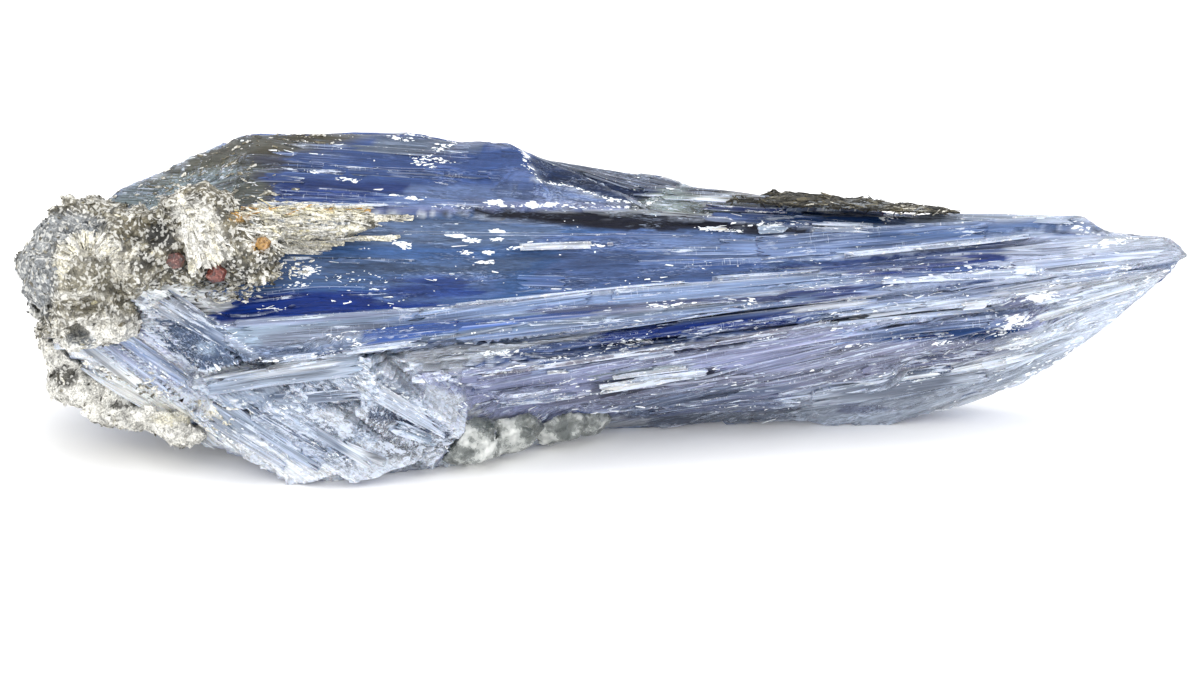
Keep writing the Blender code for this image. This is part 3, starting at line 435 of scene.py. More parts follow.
# Kyanite, cleaved and broken along its blades. Pearly, glassy faces: sharp streaks run with the
# fibre, white flakes have lifted in ragged sheets, and fine cracks cross the blades.
def kyaniteMaterial():
    made, tree = newMaterial("kyanite_cleaved_blades")
    tint = addNode(tree, "ShaderNodeAttribute", {"attribute_name": "tint"}).outputs["Color"]
    frost = addNode(tree, "ShaderNodeAttribute", {"attribute_name": "frost"}).outputs["Fac"]
    fibre = addNode(tree, "ShaderNodeAttribute", {"attribute_name": "fibre"}).outputs["Vector"]

    def streaks(alongEvery, acrossEvery, detail, offset, rough=0.6):  # noise drawn out along the fibre, in mm
        placed = addNode(tree, "ShaderNodeMapping", {
            "Scale": (1 / alongEvery, 1 / acrossEvery, 1 / acrossEvery),
            "Location": (offset, offset, offset),
        }, Vector=fibre)
        return addNode(tree, "ShaderNodeTexNoise", {"Scale": 1.0, "Detail": detail, "Roughness": rough},
                       Vector=placed.outputs[0]).outputs["Fac"]

    hair = streaks(4.0, 0.10, 4.0, 0.0, 0.65)
    fine = streaks(9.0, 0.30, 3.0, 3.0)
    broad = streaks(18.0, 1.1, 3.0, 5.0)
    flake = streaks(0.7, 0.24, 5.0, 11.0, 0.7)
    sheet = streaks(3.6, 0.62, 8.0, 23.0, 0.7)
    crack = streaks(0.12, 1.6, 3.0, 31.0)
    drift = streaks(8.0, 3.6, 2.0, 17.0)

    gate, lifted, broken = (
        addNode(tree, "ShaderNodeMath", {"operation": "ADD"}, at0=source, at1=frost).outputs[0]
        for source in (drift, sheet, flake))
    # calm stretches show fewer fibres
    strength = addNode(tree, "ShaderNodeMapRange", {1: 0.36, 2: 0.56, 3: 0.45, 4: 0.95}, Value=gate).outputs[0]
    shade = tint
    for source, stops in ((broad, ((0.36, 0.52), (0.5, 0.76), (0.64, 0.98))),
                          (fine, ((0.36, 0.62), (0.5, 1.0), (0.64, 1.40))),
                          (hair, ((0.36, 0.48), (0.45, 0.94), (0.55, 1.04), (0.64, 1.38)))):
        ramp = rampStops(addNode(tree, "ShaderNodeValToRGB", Fac=source), stops)
        shade = addNode(tree, "ShaderNodeMix", {"data_type": "RGBA", "blend_type": "MULTIPLY"},
                        Factor=strength, at6=shade, at7=ramp.outputs["Color"]).outputs[2]

    # what lies over the colour: where its noise starts, where it is full, its most, where the gate
    # opens and is open, and its own colour
    masks = []
    for source, start, full, most, opening, opened, code in (
            (hair, 0.53, 0.61, 0.5, 0.44, 0.58, "#b3c2df"),  # a pale veil of fibres
            (crack, 0.61, 0.66, 0.4, 0.5, 0.58, "#dfe6f2"),  # cracks across them
            (lifted, 0.59, 0.605, 0.75, 0.38, 0.48, "#d3dcec"),  # lifted sheets
            (broken, 0.655, 0.68, 0.95, 0.34, 0.48, "#f4f6f8")):  # white chips
        own = addNode(tree, "ShaderNodeMapRange", {1: start, 2: full, 3: 0.0, 4: most}, Value=source)
        room = addNode(tree, "ShaderNodeMapRange", {1: opening, 2: opened, 3: 0.0, 4: 1.0}, Value=gate)
        masks.append(addNode(tree, "ShaderNodeMath", {"operation": "MULTIPLY"},
                             at0=own.outputs[0], at1=room.outputs[0]).outputs[0])
        shade = addNode(tree, "ShaderNodeMix", {"data_type": "RGBA", 7: (*linear(code), 1)},
                        Factor=masks[-1], at6=shade).outputs[2]
    sheets, chips = masks[2:]

    relief = fine
    for source, weight in ((hair, 0.7), (sheets, 0.4), (chips, 0.4)):
        relief = addNode(tree, "ShaderNodeMath", {"operation": "MULTIPLY_ADD", 1: weight},
                         at0=source, at2=relief).outputs[0]
    bump = addNode(tree, "ShaderNodeBump", {"Strength": 0.75, "Distance": 0.00011}, Height=relief)
    gloss = addNode(tree, "ShaderNodeMapRange", {1: 0.35, 2: 0.7, 3: 0.26, 4: 0.46}, Value=broad)
    rough = addNode(tree, "ShaderNodeMath", {"operation": "MULTIPLY_ADD", 1: 0.3, "use_clamp": True},
                    at0=chips, at2=gloss.outputs[0])
    finishMaterial(tree, addNode(tree, "ShaderNodeBsdfPrincipled", {
        "IOR": 1.72, "Specular IOR Level": 0.1, "Subsurface Weight": 0.06, "Subsurface Scale": 0.0005,
    }, **{"Base Color": shade, "Roughness": rough.outputs[0], "Normal": bump.outputs[0]}))
    return made


def storeAttribute(mesh, name, kind, values):
    made = mesh.attributes.new(name, kind, "POINT")
    field = {"FLOAT": "value", "FLOAT_VECTOR": "vector", "FLOAT_COLOR": "color"}[kind]
    made.data.foreach_set(field, np.ascontiguousarray(values, np.float32).ravel())


def storeTint(mesh, colour):
    storeAttribute(mesh, "tint", "FLOAT_COLOR", np.hstack((np.clip(colour, 0, 1), np.ones((len(colour), 1)))))


def finishPiece(name, mesh, material, crease=38):  # a mesh in mm becomes a piece
    mesh.transform(Matrix.Scale(mm, 4))
    mesh.polygons.foreach_set("use_smooth", [True] * len(mesh.polygons))
    mesh.set_sharp_from_angle(angle=math.radians(crease))
    mesh.materials.clear()
    mesh.materials.append(material)
    mesh.update()
    piece = placed(name, mesh)
    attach(piece, "root")
    triangles = sum(len(p.vertices) - 2 for p in mesh.polygons)
    print(name, triangles, "triangles")
    return piece


def meshArrays(mesh):
    places = np.zeros(len(mesh.vertices) * 3)
    mesh.vertices.foreach_get("co", places)
    normals = np.zeros(len(mesh.vertices) * 3)
    mesh.vertices.foreach_get("normal", normals)
    return places.reshape(-1, 3), normals.reshape(-1, 3)


def placeMesh(mesh, places):
    mesh.vertices.foreach_set("co", np.ascontiguousarray(places, np.float32).ravel())
    mesh.update()


def aboveRest(places):
    places[:, 2] = np.maximum(places[:, 2], restGap)
    return places


kyaniteFinish = kyaniteMaterial()

# The mass of grown-together blades, drawn over the solid as rings round a spine
body = {
    "around": 360, "along": 268, "capRings": 10,
    "spine": ((-51.0, -1.0, 12.6), (-36.0, -2.0, 12.8), (-15.0, -2.5, 12.5), (0.0, -1.0, 12.2),
              (15.0, 0.0, 12.0), (28.0, 1.0, 11.4), (42.0, 1.2, 12.9), (51.0, 1.2, 15.4), (55.6, 1.2, 17.8)),
    "frontTurn": 160.0, "frontCrowd": 0.6,  # sections have more points where they face the eye
    # bundles of fibres: width and length between breaks in mm, step height in mm, seed
    "bundles": ((3.4, 46.0, 0.38, 11), (1.5, 30.0, 0.24, 23), (0.6, 18.0, 0.09, 37), (0.28, 9.0, 0.035, 41)),
    "crossBundles": ((2.6, 20.0, 0.26, 61), (1.1, 12.0, 0.16, 67), (0.5, 8.0, 0.07, 71), (0.26, 5.0, 0.03, 73)),
    "crisp": (((-3.0, 25.0), (9.0, 5.0)), ((-36.0, 8.0), (6.0, 4.0))),  # where paint bands keep a clean outline
    "drawRounds": 9,
    "sprayFrostAndLight": 0.3,  # how much paler the cross spray is than its paint: partly its pale frost, partly painted light on faces turned down from the lamps
    "ragged": 5.0, "splinter": 0.3,  # how far a break wanders along the fibre, and in what widths, in mm
    # on the rear the widest bundles take one paint each: where the chance of each paint starts
    "rearEdges": (0.0, 0.16, 0.34, 0.5, 0.6, 0.72, 0.84, 0.92),
    "edgeReach": ((1, 1.0), (2, 0.6), (4, 0.4)),  # worn edges stand out over so many points, and the weights
    "wornEdge": 0.5, "paintedCleftShade": 0.45,  # how much paler a worn edge is, and how much painted shade darkens a cleft
    # each bundle's own light, and how far it moves the bands across and up: at least, and by its width
    "bundleLight": (0.12, 0.12), "bundleAcross": (0.5, 0.8), "bundleUp": 0.22,
    # what adds frost, and what takes it away
    "edgeFrost": 0.05, "sprayFrost": 0.07, "calmClear": 0.09, "deepClear": 0.07,
    # places on the display plane that broke along one flat face: centre, radii and what relief is left
    "smooth": (
        ((-12.0, 16.0), (32.0, 5.6), 0.22), ((-16.0, 25.0), (18.0, 4.2), 0.4), ((36.0, 19.4), (16.0, 3.0), 0.4),
        ((-37.5, 9.2), (5.5, 3.2), 0.3),
    ),
}


def bodyMesh():
    solid = mergedCopy("kyanite_blades")
    tree = BVHTree.FromBMesh(solid)
    solid.free()
    made = bmesh.new()
    bmesh.ops.create_grid(made, x_segments=body["around"], y_segments=body["along"], size=1.0)
    ringMark = made.verts.layers.int.new("ring")
    columnMark = made.verts.layers.int.new("column")
    spine = np.array(body["spine"])
    caps = body["capRings"]
    last = body["along"] - caps
    castReach = 60.0  # rays start this far from the spine, outside the mass
    share = (np.clip(np.arange(body["along"] + 1), caps, last) - caps) / (last - caps)
    across = spine[-1, 0] + (spine[0, 0] - spine[-1, 0]) * share
    hearts = [Vector(spot) for spot in zip(across, np.interp(across, spine[:, 0], spine[:, 1]),
                                           np.interp(across, spine[:, 0], spine[:, 2]))]
    seam = []
    for vert in made.verts:
        ring = round((vert.co.y + 1) / 2 * body["along"])
        column = round((vert.co.x + 1) / 2 * body["around"])
        if ring in (0, body["along"]) or column in (0, body["around"]):
            seam.append(vert)
        vert[ringMark] = ring
        vert[columnMark] = column % body["around"]
        tilt = math.pi / 2 * (max(caps - ring, 0) - max(ring - last, 0)) / caps
        turn = (column % body["around"]) / body["around"] * math.tau - math.pi
        turn += math.radians(body["frontTurn"]) - body["frontCrowd"] * math.sin(turn)
        away = Vector((math.sin(tilt), math.cos(tilt) * math.cos(turn), math.cos(tilt) * math.sin(turn)))
        hit = tree.ray_cast(hearts[ring] + away * castReach, -away, castReach)[0]
        vert.co = hit if hit is not None else hearts[ring] + away * 0.5
    bmesh.ops.remove_doubles(made, verts=seam, dist=1e-4)
    if made.calc_volume(signed=True) < 0:
        bmesh.ops.reverse_faces(made, faces=made.faces)
    rings = np.array([vert[ringMark] for vert in made.verts])
    columns = np.array([vert[columnMark] for vert in made.verts])
    return meshFrom(made, "kyanite_body"), rings, columns


# The cross spray's outline on the display plane
crossOutline = np.array(((-56, 14), (-47, 15.2), (-40, 11), (-34.5, 6.6), (-36.6, 5.6), (-40, 4.4), (-22, 7.2),
                         (-14.2, 5.6), (-12, -2), (-17, -6), (-28, -8), (-56, 0)), float)


def crossShare(place):  # 1 for places on the display plane that lie in the cross spray, and 0 for others
    inside = np.zeros(len(place), bool)
    for start, end in zip(crossOutline, np.roll(crossOutline, -1, 0)):
        crosses = (start[1] > place[:, 1]) != (end[1] > place[:, 1])
        reach = start[0] + (place[:, 1] - start[1]) * (end[0] - start[0]) / (end[1] - start[1] + 1e-12)
        inside ^= crosses & (place[:, 0] < reach)
    return inside.astype(float)


def drawnAlong(places, grid, rounds):  # evens out steps along the fibre and keeps those across it
    laid = places[grid]
    keep = 1 - crossShare(seenPlace(laid.reshape(-1, 3))).reshape(grid.shape)
    for _ in range(rounds):
        middle = (laid[:-2] + 2 * laid[1:-1] + laid[2:]) / 4
        laid[1:-1] += (middle - laid[1:-1]) * keep[1:-1, :, None]
    places = places.copy()
    places[grid[1:-1]] = laid[1:-1]
    return places


rearPaints = ("royal", "cloudBlue", "faceBlue", "lilac", "paleBlue", "slate", "steel")


def rearColour(crossing, edges):  # each paint fills the chance between its edge and the next
    size, seed = body["bundles"][0][0], body["bundles"][0][3]
    owner = bundleCells(crossing, size, seed)[0]
    roll = chance(97, owner[:, 0], owner[:, 1])
    colour = plainColour("fadedBlue", len(crossing))
    for low, high, name in zip(edges, edges[1:], rearPaints):
        colour[(roll >= low) & (roll < high)] = linear(paints[name])
    return colour


def calmPlaces(seen, front):  # the share of relief that each place keeps
    calm = np.ones(len(seen))
    for centre, radii, left in body["smooth"]:
        reach = np.linalg.norm((seen - centre) / radii, axis=1)
        calm = np.minimum(calm, np.where(front, left + (1 - left) * smoothShare(reach, 0.75, 1.15), 1.0))
    return calm


def bulges(places, normals, grid, rings, columns):  # how far each place stands out between its neighbours
    bulge = np.zeros(len(places))
    for reach, weight in body["edgeReach"]:
        nearA = grid[rings, (columns + reach) % body["around"]]
        nearB = grid[rings, (columns - reach) % body["around"]]
        middle = (places[nearA] + places[nearB]) / 2
        span = np.linalg.norm(places[nearA] - places[nearB], axis=1) + 0.05
        bulge += weight * np.einsum("ij,ij->i", places - middle, normals) / span
    bulge[(rings < 2) | (rings > body["along"] - 2)] = 0
    return bulge


# The height of each bundle's steps, and the light and drift of colour that it has of its own
def bundleSteps(along, crossing, alongCross, crossingCross, inCross, shrink):
    lift = np.zeros(len(along))
    light = np.zeros(len(along))
    jitter = np.zeros((len(along), 2))
    lightLeast, lightGain = body["bundleLight"]
    acrossLeast, acrossGain = body["bundleAcross"]
    for bundle, bundleC in zip(body["bundles"], body["crossBundles"]):
        (size, length, height, seed), (sizeC, lengthC, heightC, seedC) = bundle, bundleC
        owner = bundleCells(crossing, size, seed)[0]
        index, part = stretches(owner, along, length, seed + 1)
        ownerC = bundleCells(crossingCross, sizeC, seedC)[0]
        indexC, partC = stretches(ownerC, alongCross, lengthC, seedC + 1)
        owner = np.where(inCross[:, None], ownerC, owner)
        index = np.where(inCross, indexC, index)
        part = np.where(inCross, partC, part)
        roll = chance(seed + 5, owner[:, 0], owner[:, 1], index)
        lift += (roll - 0.5 + 0.25 * (part - 0.5)) * np.where(inCross, heightC, height) * 2 * shrink
        light += (chance(seed + 9, owner[:, 0], owner[:, 1], index) - 0.5) * (
            lightLeast + lightGain * math.sqrt(size))
        jitter[:, 0] += (roll - 0.5) * (size * acrossGain + acrossLeast)
        jitter[:, 1] += (chance(seed + 6, owner[:, 0], owner[:, 1]) - 0.5) * size * body["bundleUp"]
    return lift, light, jitter


def makeBody():
    mesh, rings, columns = bodyMesh()
    places = meshArrays(mesh)[0]
    grid = np.zeros((body["along"] + 1, body["around"]), int)
    grid[rings, columns] = np.arange(len(places))
    for pole in (0, body["along"]):
        grid[pole] = np.flatnonzero(rings == pole)[0]
    places = drawnAlong(places, grid, body["drawRounds"])
    placeMesh(mesh, places)
    normals = meshArrays(mesh)[1]
    seen = seenPlace(places)
    front = -(normals @ sightLine) > -0.05
    cross = crossShare(seen) * front
    inCross = cross > 0.5
    along, crossing = fanPlace(places)
    alongCross, crossingCross = crossPlace(places)
    along = np.where(inCross, alongCross, along)
    shrink = np.clip((fan["meeting"][0] - places[:, 0]) / fan["reach"], 0.3, 1.0)
    calm = calmPlaces(seen, front)
    splinter = bundleCells(crossing, body["splinter"], 89)[0]
    wander = chance(91, splinter[:, 0], splinter[:, 1]) * body["ragged"]
    along = along + wander
    alongCross = alongCross + wander
    lift, light, jitter = bundleSteps(along, crossing, alongCross, crossingCross, inCross, shrink)
    places = aboveRest(places + normals * (lift * calm)[:, None])
    placeMesh(mesh, places)

    seen = seenPlace(places)
    for centre, radii in body["crisp"]:
        reach = np.linalg.norm((seen - centre) / radii, axis=1)
        jitter *= (0.15 + 0.85 * smoothShare(reach, 0.8, 1.2))[:, None]
    painted = plainColour("crossBlue", len(places))
    paintBands(painted, seen, jitter)
    colour = np.where(front[:, None], painted, rearColour(crossing, body["rearEdges"]))
    # the cross spray is lifted paler than its paint, partly for its frost and partly as painted light
    colour *= (1 + light + body["sprayFrostAndLight"] * cross)[:, None]
    # worn edges stand out pale, and concave clefts are darkened as painted shade
    bulge = bulges(places, meshArrays(mesh)[1], grid, rings, columns)
    paintedCleftShade = smoothShare(-bulge, 0.2, 0.8)[:, None]
    edge = smoothShare(bulge, 0.25, 0.9)[:, None] * np.where(front, calm, 1.0)[:, None]
    worn = body["wornEdge"] * edge
    colour = colour * (1 - worn) + linear(paints["edgeBlue"]) * worn
    # painted shade: concave clefts are multiplied darker
    colour = colour * (1 - body["paintedCleftShade"] * paintedCleftShade)
    clear = 1 - smoothShare(colour.mean(1), 0.03, 0.14)  # deep blue crystal is clear and holds few flakes
    frost = body["edgeFrost"] * edge[:, 0] + body["sprayFrost"] * cross
    frost = frost - body["calmClear"] * (1 - calm) * front - body["deepClear"] * clear
    fibre = np.column_stack((along, crossing))
    fibre = np.where(inCross[:, None], np.column_stack((alongCross, crossingCross)), fibre)
    storeTint(mesh, colour)
    storeAttribute(mesh, "frost", "FLOAT", frost)
    storeAttribute(mesh, "fibre", "FLOAT_VECTOR", fibre)
    piece = finishPiece("kyanite_body", mesh, kyaniteFinish)
    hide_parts("kyanite_blades")
    return piece


bodyPiece = makeBody()


def bladeColour(points, front, jitter):  # the colour of thin blades at places in mm
    seen = seenPlace(points)
    colour = plainColour("crossBlue", len(points))
    paintBands(colour, seen, jitter)
    # the cross spray is lifted paler than its paint, partly for its frost and partly as painted light
    colour *= (1 + body["sprayFrostAndLight"] * crossShare(seen))[:, None]
    return np.where(front[:, None], colour, rearColour(fanPlace(points)[1], laths["rearEdges"]))


def newGathering():  # a mesh that gathers many small parts, and the marks each vertex carries
    made = bmesh.new()
    for name in ("tone", "edge", "paint"):
        made.verts.layers.float.new(name)
    made.verts.layers.float_vector.new("fibre")
    return made


def gatherInto(whole, part):
    mesh = meshFrom(part, "part")
    whole.from_mesh(mesh)
    bpy.data.meshes.remove(mesh)


def readMark(mesh, name, width=1):
    values = np.zeros(len(mesh.vertices) * width)
    mesh.attributes[name].data.foreach_get("value" if width == 1 else "vector", values)
    return values if width == 1 else values.reshape(-1, width)


paintList = sorted(paints)


def finishBlades(name, whole, frostLevel=0.0):  # colours the gathered blades and makes their piece
    mesh = meshFrom(whole, name)
    points, normals = meshArrays(mesh)
    tone, edge, paint = (readMark(mesh, mark) for mark in ("tone", "edge", "paint"))
    front = normals @ sightLine < laths["turnedAway"]
    jitter = np.outer(tone - 1, laths["drift"])
    colour = bladeColour(points, front, jitter)
    fibre = readMark(mesh, "fibre", 3)
    cover = 0.5 + 0.5 * chance(77, *(fibre / laths["paintCell"]).T)[:, None]
    for number, code in enumerate(paintList):
        own = np.abs(paint - number - 1) < 0.2
        colour[own] = colour[own] * (1 - cover[own]) + linear(paints[code]) * cover[own]
    colour *= np.where(tone > 0, tone, 1.0)[:, None]
    worn = (edge * laths["wornEdge"])[:, None]
    colour = colour * (1 - worn) + linear(paints["edgeBlue"]) * worn
    storeTint(mesh, colour)
    storeAttribute(mesh, "frost", "FLOAT", frostLevel + laths["edgeFrost"] * edge + laths["paintFrost"] * (paint > 0))
    for mark in ("tone", "edge", "paint"):
        mesh.attributes.remove(mesh.attributes[mark])
    return finishPiece(name, mesh, kyaniteFinish, 24)


def smoothed(values, rounds=3):
    values = np.array(values, float)
    for _ in range(rounds):
        padded = np.vstack((values[:1], values, values[-1:]))
        values = (padded[:-2] + 2 * padded[1:-1] + padded[2:]) / 4
    return values


# A blade is a grid of strips laid over the mass, each with its own ends, height and tone
lathCells = {"length": 1.1, "width": 0.2, "ragged": 3.0, "edgeDrop": 0.05}  # its cells and end splinters, in mm


def layBlade(whole, spots, outs, widths, rise, thick, roll, tone=1.0, paint=None, ragged=1.0, streak=0.14):
    made = newGathering()
    marks = made.verts.layers
    toneMark, edgeMark, paintMark = (marks.float[name] for name in ("tone", "edge", "paint"))
    fibreMark = marks.float_vector["fibre"]
    count = len(spots)
    strips = max(3, round(max(widths) / lathCells["width"]))
    bmesh.ops.create_grid(made, x_segments=count - 1, y_segments=strips, size=1.0)
    lines = np.gradient(spots, axis=0)
    lines /= np.linalg.norm(lines, axis=1)[:, None]
    sides = np.cross(outs, lines)
    sides /= np.linalg.norm(sides, axis=1)[:, None]
    ups = np.cross(lines, sides)
    length = float(np.linalg.norm(spots[-1] - spots[0]))
    lost = min(lathCells["ragged"] * ragged, length * 0.3) / length
    starts = [roll.random() ** 2 * lost for _ in range(strips + 1)]
    ends = [roll.random() ** 2 * lost for _ in range(strips + 1)]
    heights = [roll.uniform(-0.02, 0.02) for _ in range(strips + 1)]
    # each strip steps once along its length: where, by how much, and how its tone differs
    steps = [(roll.random(), roll.uniform(-0.04, 0.04), roll.uniform(-streak, streak))
             for _ in range(strips + 1)]
    shift = roll.uniform(0, 400)
    number = 1 + paintList.index(paint) if paint else 0
    for vert in made.verts:
        share = (vert.co.x + 1) / 2
        strip = round((vert.co.y + 1) / 2 * strips)
        share = starts[strip] + share * (1 - starts[strip] - ends[strip])
        place = share * (count - 1)
        i = min(int(place), count - 2)
        spot = spots[i] + (spots[i + 1] - spots[i]) * (place - i)
        aside = (strip / strips - 0.5) * (widths[0] + (widths[1] - widths[0]) * share)
        cut, drop, change = steps[strip]
        height = rise + heights[strip] + (drop if share > cut else 0.0)
        outer = strip in (0, strips)
        vert.co = spot + sides[i] * aside + ups[i] * (height - (lathCells["edgeDrop"] if outer else 0.0))
        vert[toneMark] = tone * (1 + change + (0.05 if share > cut else 0.0))
        vert[edgeMark] = 1.0 if outer else 0.0
        vert[paintMark] = number
        vert[fibreMark] = (share * length + shift, aside + shift, shift)
    bmesh.ops.recalc_face_normals(made, faces=made.faces)
    middle = made.faces[:][len(made.faces) // 2]
    if middle.normal.dot(Vector(ups[count // 2])) < 0:
        bmesh.ops.reverse_faces(made, faces=made.faces)
    bmesh.ops.solidify(made, geom=made.faces, thickness=thick)
    gatherInto(whole, made)


def eyeHit(tree, across, up):  # where the eye's ray through a display spot meets the mass
    away = Vector(displaySpot(across, up) - eyePlace).normalized()
    hit, normal, _, _ = tree.ray_cast(Vector(eyePlace), away)
    return hit, normal


def spotsFromEye(tree, left, right):  # the line of a blade seen from the left place to the right one
    length = math.hypot(right[0] - left[0], right[1] - left[1])
    count = max(5, round(length / lathCells["length"]))
    spots, outs = [], []
    for i in range(count):
        share = i / (count - 1)
        across, up = (start + (end - start) * share for start, end in zip(left, right))
        hit, normal = eyeHit(tree, across, up)
        if hit is not None:
            spots.append(hit)
            outs.append(normal)
    return (smoothed(spots, 6), smoothed(outs, 12)) if len(spots) > 4 else (None, None)


def spotsAlongFan(tree, start, out, length):  # a straight line over the mass towards the fan's meeting
    spots, outs = [], []
    line = laidFlat(Vector(fan["meeting"]) - start, out)
    height = 0.0
    for i in range(max(5, round(length / lathCells["length"]))):
        hit, normal, _, _ = tree.ray_cast(start + line * (i * lathCells["length"]) + out * 4, -out, 8)
        if hit is None or abs((hit - start).dot(out) - height) > 0.5:
            break
        height = (hit - start).dot(out)
        spots.append(hit)
        outs.append(normal)
    return (smoothed(spots, 4), smoothed(outs, 12)) if len(spots) > 4 else (None, None)


